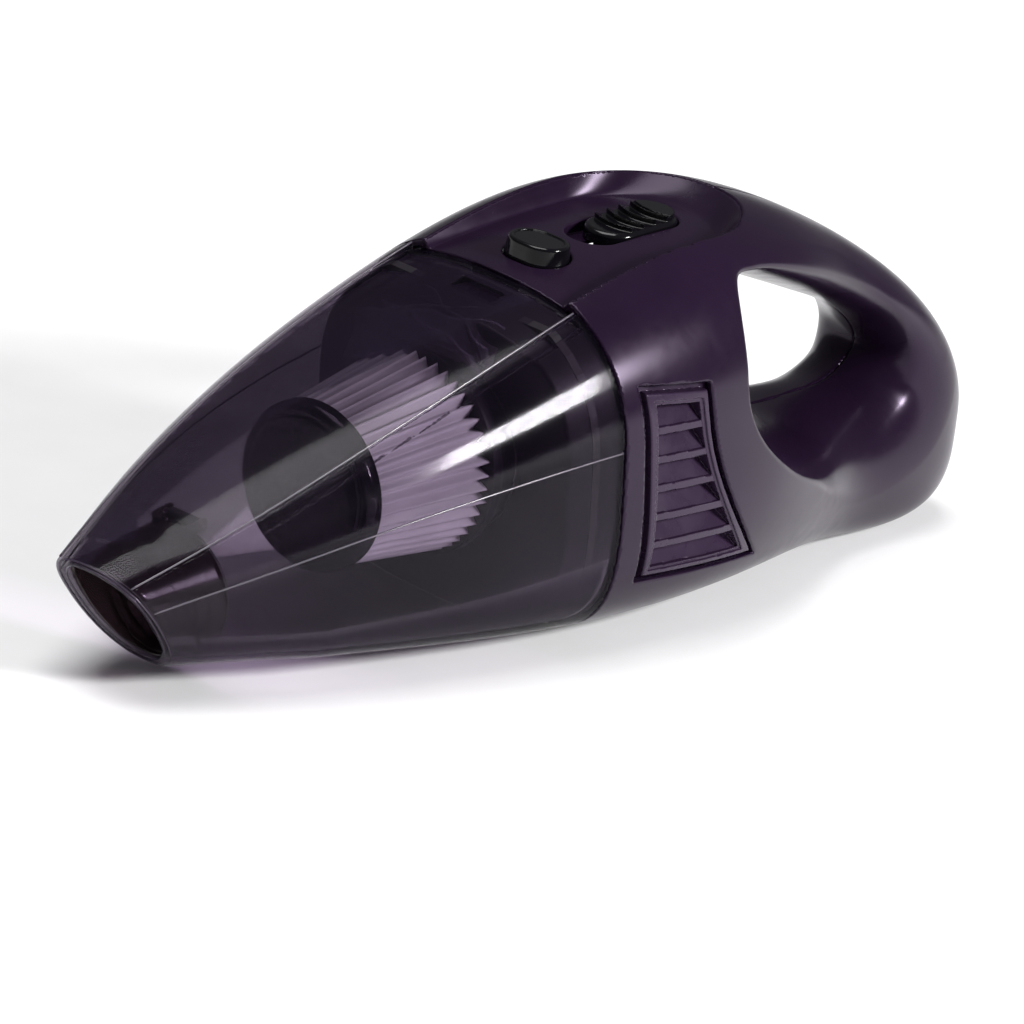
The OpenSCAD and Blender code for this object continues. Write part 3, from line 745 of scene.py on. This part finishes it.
def make_ridges_painted_highlight(material):
    """The cup's sharp moulded lines: two along each side and the two edges of the mouth. They are thin
    ridges in a lighter opaque colour, a painted highlight along each line.
    """
    u = np.linspace(0.05, SEAM_U - 0.03, 90)
    val, _ = ring(u)
    parts = []
    for angles in (CREASE, LOW_CREASE):
        across, up = crease_point(u, val[:, 4], np.hypot(val[:, 2], val[:, 3]), angles)
        for side in (-1, 1):
            parts.append(cord(on_rings(u, side * across, up), (0, 1, 0), LINE_R, False))
    along = on_rings(np.array([0.0, 0.06]), np.zeros(2), np.zeros(2))
    for inset in (0.9, RIM_WALL + 0.1):
        parts.append(cord(mouth_loop(inset), tuple(along[1] - along[0]), LINE_R, True))
    finish_piece(join("cup_ridges_painted_highlight", parts), "dust_cup", [], material)


def make_cup(material, glint_folds_material):
    piece = mesh_field("clear_cup_shell", Field(cup_solid), (-194, -56, -3), (3, 56, 114),
                       0.85 if FINE else 1.7)
    finish_piece(piece, "dust_cup", ["cup_shell"], material)
    # The folds' light haze material paints glints under the cup's top panel.
    guard = mesh_field("latch_guard_folds_painted_glint", Field(guard_solid), (-72, -28, 74), (-39, 28, 110),
                       0.6 if FINE else 1.0)
    finish_piece(guard, "dust_cup", [], glint_folds_material)


# ---- bulkhead between cup and motor

FILTER_ORIGIN = np.array([-94.0, 0.0, 49.3])
FILTER_PITCH = math.radians(6)
PLUG_U, PLUG_INSET, PLUG_SKIN = 3.5, 2.6, 2.4
TROUGH = dict(x0=-39.0, x1=-3.0, half=9.0, z=91.8, shelf=84.0, skin=1.4)
SEAT_R = 28.6


def filter_radius(x, y, z):
    """Distance from the filter's axis, and place along it."""
    dx, dz = x - FILTER_ORIGIN[0], z - FILTER_ORIGIN[2]
    along = dx * math.cos(FILTER_PITCH) + dz * math.sin(FILTER_PITCH)
    off = -dx * math.sin(FILTER_PITCH) + dz * math.cos(FILTER_PITCH)
    return np.hypot(y, off), along


def bulkhead_solid(rings, x, y, z):
    front = -seam_offset(x, z, PLUG_U)
    plug = both(cup_skin(rings, y, PLUG_INSET), front, 1.2)
    plug = np.maximum(plug, seam_offset(x, z) - 0.2)
    lip = np.maximum(body_field(rings, y) + WALL + 0.2, seam_offset(x, z) - 6)
    plan, _ = recess_plan(x, y)
    floor = floor_height(x, y)
    lip = np.maximum(lip, -np.maximum(plan - 0.5, floor - 2.0 - z))
    shape = np.minimum(plug, np.maximum(lip, -0.2 - seam_offset(x, z)))
    inner = np.maximum(cup_skin(rings, y, PLUG_INSET + PLUG_SKIN), front + PLUG_SKIN)
    shape = np.maximum(shape, -inner)
    t = TROUGH
    tub = box_distance(x, y, z, (t["x0"], -t["half"] - t["skin"], t["shelf"] - t["skin"]),
                       (t["x1"], t["half"] + t["skin"], 97.2))
    shape = either(shape, tub, 0.5)
    r, along = filter_radius(x, y, z)
    seat = np.maximum(r - 33, np.maximum(46.6 - along, front))
    shape = np.minimum(shape, np.maximum(seat, along - 60))
    shape = both(shape, -np.maximum(r - SEAT_R, 20 - along), 0.4)
    recess = box_distance(x, y, z, (t["x0"] + t["skin"], -t["half"], t["z"]), (20, t["half"], 120))
    well = box_distance(x, y, z, (t["x0"] + 10, -t["half"], t["shelf"]), (21, t["half"], 120))
    return both(shape, -np.minimum(recess, well), 0.3)


def make_bulkhead(material):
    piece = mesh_field("motor_bulkhead", Field(bulkhead_solid), (-62, -55, -2), (6, 55, 110),
                       0.9 if FINE else 1.6)
    finish_piece(piece, "housing", ["bulkhead", "filter_seat"], material)


# ---- turned and lofted parts

def grid_faces(rows, columns, closed_rows=False):
    """Quads of a grid whose columns close on themselves."""
    faces = []
    for i in range(rows if closed_rows else rows - 1):
        a, b = i * columns, (i + 1) % rows * columns
        for j in range(columns):
            k = (j + 1) % columns
            faces.append((a + j, a + k, b + k, b + j))
    return faces


def rod_faces(rows, sides):
    """The same for an open run of rows, with both ends closed."""
    last = (rows - 1) * sides
    return grid_faces(rows, sides) + [tuple(range(sides)), tuple(range(last, last + sides))]


def on_axis(points, origin, pitch):
    """Moves points given as (along, side, up) onto an axis that rises towards +X by pitch."""
    a, y, b = points[:, 0], points[:, 1], points[:, 2]
    c, s = math.cos(pitch), math.sin(pitch)
    return np.stack([origin[0] + a * c - b * s, origin[1] + y, origin[2] + a * s + b * c], axis=1)


def smooth_profile(corners, radius=0.5, steps=4):
    """Rounds the corners of a closed profile of (along, radius) points."""
    out = []
    n = len(corners)
    for i in range(n):
        p = np.array(corners[i], float)
        before, after = np.array(corners[i - 1], float), np.array(corners[(i + 1) % n], float)
        d0, d1 = before - p, after - p
        l0, l1 = np.linalg.norm(d0), np.linalg.norm(d1)
        r = min(radius, 0.45 * l0, 0.45 * l1)
        if p[1] <= 1e-6:
            out.append(p)
            continue
        a, b = p + d0 / l0 * r, p + d1 / l1 * r
        for t in np.linspace(0, 1, steps):
            out.append((1 - t) ** 2 * a + 2 * t * (1 - t) * p + t ** 2 * b)
    return np.array(out)


def turned(name, corners, origin, pitch, radius=0.5, sides=96):
    """A turned part round an axis, from a closed profile of (along, radius) corners."""
    profile = smooth_profile(corners, radius)
    angle = np.linspace(0, 2 * math.pi, sides, endpoint=False)
    along = np.repeat(profile[:, 0], sides)
    r = np.repeat(profile[:, 1], sides)
    turn = np.tile(angle, len(profile))
    points = np.stack([along, r * np.cos(turn), r * np.sin(turn)], axis=1)
    piece = make_piece(name, on_axis(points, origin, pitch), grid_faces(len(profile), sides, True))
    tidy_mesh(piece)
    return piece


def tidy_mesh(piece, distance=0.01):
    """Joins doubled points and turns every face outwards."""
    mesh = bmesh.new()
    mesh.from_mesh(piece.data)
    bmesh.ops.remove_doubles(mesh, verts=mesh.verts, dist=distance * MM)
    bmesh.ops.recalc_face_normals(mesh, faces=mesh.faces)
    mesh.to_mesh(piece.data)
    mesh.free()


def join(name, parts):
    """One piece from several separate closed shells."""
    mesh = bmesh.new()
    for part in parts:
        mesh.from_mesh(part.data)
        bpy.data.objects.remove(part)
    data = bpy.data.meshes.new(name)
    mesh.to_mesh(data)
    mesh.free()
    data.polygons.foreach_set("use_smooth", [True] * len(data.polygons))
    return add_object(name, data)


# ---- inlet duct and flap

DUCT_END = np.array([-147.6, 0.0, 27.5])
DUCT_PITCH = math.radians(12)
DUCT_R, DUCT_SKIN = 19.4, 1.4
PIN_ALONG, PIN_UP, PIN_R = 2.2, 20.3, 0.9
HUB_HALF, LUG_HALF = 5.2, 7.6
FLAP_R, FLAP_T = 18.6, 1.2


def section_points(u, inset, sides):
    """Points of the body's cross-section at u, set in by inset, starting at the side and going up."""
    val, _ = ring(np.array([u]))
    mx, mz, hx, hz, w = val[0]
    h = math.hypot(hx, hz)
    ex, ez = hx / h, hz / h
    angle = np.linspace(0, 2 * math.pi, sides, endpoint=False)
    c, s = np.cos(angle), np.sin(angle)
    n = np.where(s < 0, lower_power(u), UPPER_N)
    y = (w - inset) * np.sign(c) * np.abs(c) ** (2 / n)
    part = np.where(s < 0, WAIST, 1 - WAIST) * h - inset
    up = (WAIST - 0.5) * h + part * np.sign(s) * np.abs(s) ** (2 / n)
    return np.stack([mx + up * ex, y, mz + up * ez], axis=1)


def duct_ring(t, skin, sides):
    """Section of the duct, from the nozzle's rim at t = 0 to the round end at t = 1."""
    first = section_points(0.08, RIM_WALL + 0.1 + skin, sides)
    angle = np.linspace(0, 2 * math.pi, sides, endpoint=False)
    r = DUCT_R - skin
    disc = np.stack([np.zeros(sides), r * np.cos(angle), r * np.sin(angle)], axis=1)
    last_ring = on_axis(disc, DUCT_END, DUCT_PITCH)
    return first + (last_ring - first) * t


def make_duct(material, rubber):
    sides, steps = 96, 20
    places = np.linspace(0, 1, steps)
    rows = [duct_ring(t, 0.0, sides) for t in places]
    rows += [duct_ring(t, DUCT_SKIN, sides) for t in places[::-1]]
    wall = make_piece("duct_wall", np.concatenate(rows), grid_faces(len(rows), sides, True))
    tidy_mesh(wall)
    parts = [wall]
    for along in (-9.0, -16.0):
        t = 1 + along / 34.0
        ring_mid = duct_ring(t, 0.0, sides).mean(axis=0)
        r = float(np.ptp(duct_ring(t, 0.0, sides)[:, 1])) / 2
        bead = [(-0.5, r - 0.8), (0.5, r - 0.8), (0.5, r + 0.45), (-0.5, r + 0.45)]
        parts.append(turned("duct_bead", bead, ring_mid, DUCT_PITCH, 0.3))
    for y0, y1 in ((-LUG_HALF, -HUB_HALF - 0.4), (HUB_HALF + 0.4, LUG_HALF)):
        parts.append(block("hinge_lug", (-4, y0, DUCT_R - 1.4), (4.4, y1, DUCT_R + 3), 0.7,
                           DUCT_END, DUCT_PITCH))
    duct = join("inlet_duct_tube", parts)
    finish_piece(duct, "dust_cup", ["inlet_duct"], material)
    back = 0.5 + FLAP_T
    profile = [(0.5, 0), (0.5, FLAP_R - 1.4), (0.6, FLAP_R), (back, FLAP_R), (back, FLAP_R - 2.2),
               (back - 0.4, FLAP_R - 3.0), (back - 0.3, 0)]
    disc = turned("flap_disc", profile, DUCT_END, DUCT_PITCH, 0.3)
    web = block("flap_web", (0.5, -HUB_HALF, 15), (back, HUB_HALF, PIN_UP), 0.3,
                DUCT_END, DUCT_PITCH)
    hub = rod("flap_hub", PIN_R + 0.05, 1.9, HUB_HALF, pin_centre())
    flap = join("mouth_flap", [disc, web, hub])
    finish_piece(flap, "flap", ["inlet_flap"], rubber)


def pin_centre():
    return on_axis(np.array([[PIN_ALONG, 0.0, PIN_UP]]), DUCT_END, DUCT_PITCH)[0]


def rod(name, inner, outer, half, centre, sides=40):
    """A tube along Y."""
    profile = smooth_profile([(-half, inner), (half, inner), (half, outer), (-half, outer)], 0.3)
    angle = np.linspace(0, 2 * math.pi, sides, endpoint=False)
    y = np.repeat(profile[:, 0], sides)
    r = np.repeat(profile[:, 1], sides)
    turn = np.tile(angle, len(profile))
    points = np.stack([r * np.cos(turn), y, r * np.sin(turn)], axis=1) + centre
    piece = make_piece(name, points, grid_faces(len(profile), sides, True))
    tidy_mesh(piece)
    return piece


def block(name, low, high, radius, origin, pitch):
    """A box with rounded edges, given along an axis that rises by pitch."""
    mesh = bmesh.new()
    bmesh.ops.create_cube(mesh, size=1.0)
    low, high = np.array(low, float), np.array(high, float)
    local = np.array([v.co for v in mesh.verts]) * (high - low) + (low + high) / 2
    for vert, place in zip(mesh.verts, on_axis(local, origin, pitch)):
        vert.co = Vector(place * MM)
    bmesh.ops.bevel(mesh, geom=mesh.edges[:], offset=radius * MM, segments=3, affect="EDGES")
    data = bpy.data.meshes.new(name)
    mesh.to_mesh(data)
    mesh.free()
    return add_object(name, data)


# ---- filter cartridge

CAP_R, CAP_DEPTH = 25.9, 5.0
PLEATS, PLEAT_DEPTH = 44, 4.4
PLEAT_FRONT, PLEAT_BACK, PLEAT_R = 1.0, 43.0, 31.0


def pleat_points(s, turn, depth):
    """Radius of the folded cloth at angle turn (in pleats) and place s along the axis."""
    t = (s - PLEAT_FRONT) / (PLEAT_BACK - PLEAT_FRONT)
    ridge = CAP_R - 1 + (PLEAT_R - CAP_R + 0.6) * t
    fold = turn % 1.0
    wave = 1 - 2 * np.abs(fold - 0.5)
    wave = np.clip(wave * 1.14 - 0.07, 0, 1)
    return ridge - depth * (1 - wave)


def make_filter(black, gloss, cloth):
    rng = np.random.default_rng(7)
    cap = turned("filter_end_cap", [
        (-CAP_DEPTH, 0), (-CAP_DEPTH, CAP_R - 4.6), (-CAP_DEPTH + 0.5, CAP_R - 4.0),
        (-CAP_DEPTH + 0.5, CAP_R - 2.2), (-CAP_DEPTH + 0.9, CAP_R - 1.0), (-CAP_DEPTH + 2.2, CAP_R),
        (1.0, CAP_R), (1.0, CAP_R - 1.2), (-0.4, CAP_R - 1.4), (-0.4, 0)],
        FILTER_ORIGIN, FILTER_PITCH, 0.6, 128)
    finish_piece(cap, "filter", ["filter_cap"], gloss)

    around, rows = PLEATS * 8, 30
    turn = np.arange(around) / 8
    fold = np.floor(turn).astype(int)
    lean = rng.normal(0, 0.10, PLEATS)
    depth = PLEAT_DEPTH * rng.uniform(0.86, 1.0, PLEATS)
    end = PLEAT_BACK - rng.uniform(0.0, 1.6, PLEATS)
    points = []
    for skin in (0.0, 0.55):
        for i in range(rows):
            t = i / (rows - 1)
            s = PLEAT_FRONT - 0.8 + (end[fold] - PLEAT_FRONT + 0.8) * t
            sway = lean[fold] * math.sin(math.pi * t) * 0.5 + 0.02 * np.sin(9 * t + 2.1 * fold)
            r = pleat_points(s, turn, depth[fold]) - skin
            angle = 2 * math.pi * (turn + sway * (1 - 2 * np.abs(turn % 1 - 0.5))) / PLEATS
            points.append(np.stack([s, r * np.cos(angle), r * np.sin(angle)], axis=1))
    outer, inner = points[:rows], points[rows:][::-1]
    cloth_points = on_axis(np.concatenate(outer + inner), FILTER_ORIGIN, FILTER_PITCH)
    pleats = make_piece("pleated_cloth", cloth_points, grid_faces(2 * rows, around, True))
    tidy_mesh(pleats, 0.001)
    finish_piece(pleats, "filter", ["filter_pleats"], cloth)

    collar = turned("filter_collar_ring", [
        (PLEAT_BACK - 0.8, 31.9), (PLEAT_BACK + 3, 31.9), (PLEAT_BACK + 3, SEAT_R - 0.5),
        (56, SEAT_R - 0.5), (56, 25.6), (PLEAT_BACK - 0.8, 25.6)], FILTER_ORIGIN, FILTER_PITCH, 0.4, 128)
    finish_piece(collar, "filter", ["filter_collar"], black)


# ---- coil spring under the button

def make_spring(material):
    turns, coil_r, wire_r = 6.5, 3.2, 0.38
    low, high = 84.4, 94.8
    steps, sides = int(turns * 32), 10
    t = np.linspace(0, 1, steps)
    rise = np.clip((t - 0.12) / 0.76, 0, 1)
    a = 2 * math.pi * turns * t
    centre = np.stack([coil_r * np.cos(a), coil_r * np.sin(a), low + (high - low) * rise], axis=1)
    out = np.stack([np.cos(a), np.sin(a), np.zeros(steps)], axis=1)
    rows = []
    for k in range(sides):
        b = 2 * math.pi * k / sides
        rows.append(centre + wire_r * (math.cos(b) * out + math.sin(b) * np.array([0, 0, 1.0])))
    points = np.stack(rows, axis=1).reshape(-1, 3) + np.array([BUTTON["x"], 0, 0])
    piece = make_piece("coil_spring", points, rod_faces(steps, sides))
    tidy_mesh(piece, 0.001)
    finish_piece(piece, frame["nodes"]["button_spring"]["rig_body"], ["button_spring"], material)


# ---- materials

def link(tree, a, b):
    tree.links.new(a, b)


def texture(tree, kind, scale, **settings):
    """A texture node in the object's own coordinates, with its scale in cycles per metre."""
    coords = tree.nodes.get("coords") or tree.nodes.new("ShaderNodeTexCoord")
    coords.name = "coords"
    node = tree.nodes.new(kind)
    node.inputs["Scale"].default_value = scale
    for key, value in settings.items():
        node.inputs[key].default_value = value
    link(tree, coords.outputs["Object"], node.inputs["Vector"])
    return node


def spread(tree, source, low, high, start=0.3, end=0.7):
    """Maps a 0-1 texture onto low-high."""
    node = tree.nodes.new("ShaderNodeMapRange")
    node.inputs["From Min"].default_value = start
    node.inputs["From Max"].default_value = end
    node.inputs["To Min"].default_value = low
    node.inputs["To Max"].default_value = high
    link(tree, source, node.inputs["Value"])
    return node.outputs["Result"]


def tones(tree, source, dark, light, start=0.35, end=0.65):
    ramp = tree.nodes.new("ShaderNodeValToRGB")
    ramp.color_ramp.elements[0].position = start
    ramp.color_ramp.elements[1].position = end
    ramp.color_ramp.elements[0].color = (*dark, 1)
    ramp.color_ramp.elements[1].color = (*light, 1)
    link(tree, source, ramp.inputs["Fac"])
    return ramp.outputs["Color"]


def surface(name, color, rough, drift=0.12, rough_drift=0.05, grain=1600.0, height=0.01, **sockets):
    """A Principled material with patchy tone, uneven gloss and a fine moulded grain (height in mm)."""
    material = bpy.data.materials.new(name)
    material.use_nodes = True
    tree = material.node_tree
    shader = tree.nodes["Principled BSDF"]
    patches = texture(tree, "ShaderNodeTexNoise", 28.0, Detail=3.0)
    dark = [c * (1 - drift) for c in color]
    light = [min(c * (1 + drift), 1) for c in color]
    link(tree, tones(tree, patches.outputs["Fac"], dark, light), shader.inputs["Base Color"])
    smears = texture(tree, "ShaderNodeTexNoise", 130.0, Detail=5.0, Distortion=0.6)
    link(tree, spread(tree, smears.outputs["Fac"], rough - rough_drift, rough + rough_drift),
         shader.inputs["Roughness"])
    fine = texture(tree, "ShaderNodeTexNoise", grain, Detail=2.0)
    bump = tree.nodes.new("ShaderNodeBump")
    bump.inputs["Strength"].default_value = 0.5
    bump.inputs["Distance"].default_value = height * MM
    link(tree, fine.outputs["Fac"], bump.inputs["Height"])
    link(tree, bump.outputs["Normal"], shader.inputs["Normal"])
    for key, value in sockets.items():
        shader.inputs[key.replace("_", " ")].default_value = value
    return material


def clear_plastic(name, tint, haze, amount, rough):
    """Tinted clear plastic: light passes straight through, gloss grows at grazing angles."""
    material = surface(name, haze, rough, 0.15, 0.015, 900.0, 0.003,
                       Specular_IOR_Level=0.9, Coat_Weight=0.4, Coat_Roughness=0.05)
    tree = material.node_tree
    shader = tree.nodes["Principled BSDF"]
    through = tree.nodes.new("ShaderNodeBsdfTransparent")
    cloudy = texture(tree, "ShaderNodeTexNoise", 20.0, Detail=2.0)
    dark = [c * 0.93 for c in tint]
    link(tree, tones(tree, cloudy.outputs["Fac"], dark, tint), through.inputs["Color"])
    rim = tree.nodes.new("ShaderNodeLayerWeight")
    rim.inputs["Blend"].default_value = 0.18
    mix = tree.nodes.new("ShaderNodeMixShader")
    link(tree, spread(tree, rim.outputs["Fresnel"], amount, 0.75, 0.0, 1.0), mix.inputs["Fac"])
    link(tree, through.outputs["BSDF"], mix.inputs[1])
    link(tree, shader.outputs["BSDF"], mix.inputs[2])
    link(tree, mix.outputs["Shader"], tree.nodes["Material Output"].inputs["Surface"])
    return material


def cloth_material(name, color):
    """Pleated filter cloth: felted fibres, a faint grid of emboss dots and soft sheen."""
    material = surface(name, color, 0.85, 0.10, 0.05, 2600.0, 0.05, Sheen_Weight=0.3)
    tree = material.node_tree
    shader = tree.nodes["Principled BSDF"]
    bump = next(n for n in tree.nodes if n.type == "BUMP")
    dots = texture(tree, "ShaderNodeTexVoronoi", 700.0)
    second = tree.nodes.new("ShaderNodeBump")
    second.inputs["Strength"].default_value = 0.35
    second.inputs["Distance"].default_value = 0.08 * MM
    link(tree, dots.outputs["Distance"], second.inputs["Height"])
    link(tree, bump.outputs["Normal"], second.inputs["Normal"])
    link(tree, second.outputs["Normal"], shader.inputs["Normal"])
    return material


def make_materials():
    purple = dict(Specular_IOR_Level=0.24, Specular_Tint=(0.86, 0.70, 0.95, 1))
    return {
        "housing_plastic": surface("housing_plastic", (0.0100, 0.0044, 0.0138), 0.23, 0.10, 0.03,
                                   1500.0, 0.002, **purple),
        "louvre_plastic": surface("louvre_plastic", (0.019, 0.0100, 0.0245), 0.28, 0.10, 0.05,
                                  1500.0, 0.006, Specular_IOR_Level=0.3,
                                  Specular_Tint=(0.86, 0.72, 0.95, 1)),
        "panel_plastic": surface("panel_plastic", (0.0108, 0.0048, 0.0148), 0.25, 0.10, 0.035,
                                 1500.0, 0.002, **purple),
        "clear_cup": clear_plastic("clear_cup", (0.775, 0.725, 0.80), (0.018, 0.012, 0.026), 0.075, 0.11),
        # Light milky haze on the latch guard's folds: painted glints, much lighter than the cup's own haze.
        "folds_painted_glint": clear_plastic("folds_painted_glint", (0.86, 0.8, 0.88), (0.22, 0.19, 0.25), 0.32, 0.1),
        # Lighter opaque colour on the cup's thin ridges: a painted highlight along the moulded lines and
        # the mouth's edges.
        "ridge_painted_highlight": surface("ridge_painted_highlight", (0.070, 0.058, 0.080), 0.2, 0.12, 0.04, 900.0, 0.003,
                              Specular_IOR_Level=0.8),
        "duct_plastic": clear_plastic("duct_plastic", (0.50, 0.40, 0.42), (0.030, 0.019, 0.020),
                                      0.45, 0.16),
        "black_plastic": surface("black_plastic", (0.007, 0.006, 0.009), 0.42, 0.15, 0.06,
                                 1300.0, 0.005, Specular_IOR_Level=0.2),
        "black_gloss": surface("black_gloss", (0.0030, 0.0026, 0.0038), 0.14, 0.15, 0.04, 1500.0, 0.002,
                               Specular_IOR_Level=0.3),
        "grey_plastic": surface("grey_plastic", (0.07, 0.07, 0.075), 0.45, 0.12, 0.06, 1200.0, 0.03),
        "filter_cloth": cloth_material("filter_cloth", (0.60, 0.60, 0.59)),
        "soft_rubber": surface("soft_rubber", (0.012, 0.012, 0.012), 0.62, 0.15, 0.08, 1800.0, 0.03),
        "steel": surface("steel", (0.56, 0.56, 0.58), 0.32, 0.06, 0.08, 2200.0, 0.01, Metallic=1.0),
        "magnet": surface("magnet", (0.09, 0.09, 0.095), 0.5, 0.12, 0.08, 1800.0, 0.03, Metallic=0.6),
        "copper": surface("copper", (0.58, 0.27, 0.15), 0.34, 0.10, 0.08, 2000.0, 0.02, Metallic=1.0),
        "cell_wrap": surface("cell_wrap", (0.03, 0.12, 0.21), 0.35, 0.10, 0.06, 1400.0, 0.02),
        "board": surface("board", (0.016, 0.10, 0.04), 0.42, 0.12, 0.06, 1500.0, 0.02),
    }


def dress_frame(materials):
    """Gives each CAD node that is still shown the procedural material of its slot."""
    for node in frame["nodes"].values():
        for slot in node.material_slots:
            slot_name = slot.material.name.split(".")[0]
            slot.material = materials[slot_name]


# ---- stage, light and camera

def make_floor():
    mesh = bmesh.new()
    bmesh.ops.create_grid(mesh, x_segments=2, y_segments=2, size=4.0)
    data = bpy.data.meshes.new("floor")
    mesh.to_mesh(data)
    mesh.free()
    floor = add_object("floor", data)
    data.materials.append(surface("floor_paper", (0.90, 0.895, 0.90), 0.75, 0.01, 0.05, 600.0, 0.05))


def soft_box(name, place, aim, size, power, height=None):
    light = bpy.data.lights.new(name, "AREA")
    light.energy = power
    light.shape = "RECTANGLE"
    light.size = size
    light.size_y = height or size
    lamp = add_object(name, light)
    lamp.location = place
    lamp.rotation_euler = (Vector(aim) - Vector(place)).to_track_quat("-Z", "Y").to_euler()


def make_lights():
    world = bpy.data.worlds.new("studio")
    bpy.context.scene.world = world
    world.use_nodes = True
    background = world.node_tree.nodes["Background"]
    background.inputs["Color"].default_value = (0.97, 0.96, 1.0, 1)
    background.inputs["Strength"].default_value = 0.12
    bpy.context.scene.view_settings.view_transform = "Standard"
    soft_box("side_key", (0.38, -1.1, 0.66), (0.0, 0, 0.05), 0.30, 25.0, 0.28)
    soft_box("overhead", (-0.35, 0.4, 2.1), (-0.15, 0.2, 0.0), 1.5, 46.0)


CAM_RIGHT = Vector((0.659, -0.735, 0.155))
CAM_BACK = Vector((-0.737, -0.59, 0.331)).normalized()
CAM_FAR, CAM_LENS = 5.0, 600.0
AIM_Z, AIM_RIGHT, AIM_UP = 0.061, -0.00663, -0.0332


def make_camera():
    right = (CAM_RIGHT - CAM_RIGHT.dot(CAM_BACK) * CAM_BACK).normalized()
    up = CAM_BACK.cross(right)
    camera = bpy.data.cameras.new("camera")
    camera.lens = CAM_LENS
    camera.sensor_width = 36
    camera.clip_end = 50
    stand = add_object("camera", camera)
    place = Vector((0, 0, AIM_Z)) + AIM_RIGHT * right + AIM_UP * up + CAM_FAR * CAM_BACK
    stand.matrix_world = Matrix((right, up, CAM_BACK)).transposed().to_4x4()
    stand.matrix_world.translation = place
    bpy.context.scene.camera = stand


# ---- the vacuum

materials = make_materials()
make_housing(materials["housing_plastic"])
make_grilles(materials["louvre_plastic"])
make_controls(materials["panel_plastic"], materials["black_gloss"])
make_cup(materials["clear_cup"], materials["folds_painted_glint"])
make_ridges_painted_highlight(materials["ridge_painted_highlight"])
make_bulkhead(materials["black_plastic"])
make_duct(materials["duct_plastic"], materials["soft_rubber"])
make_filter(materials["black_plastic"], materials["black_gloss"], materials["filter_cloth"])
make_spring(materials["steel"])
dress_frame(materials)
make_floor()
make_lights()
make_camera()
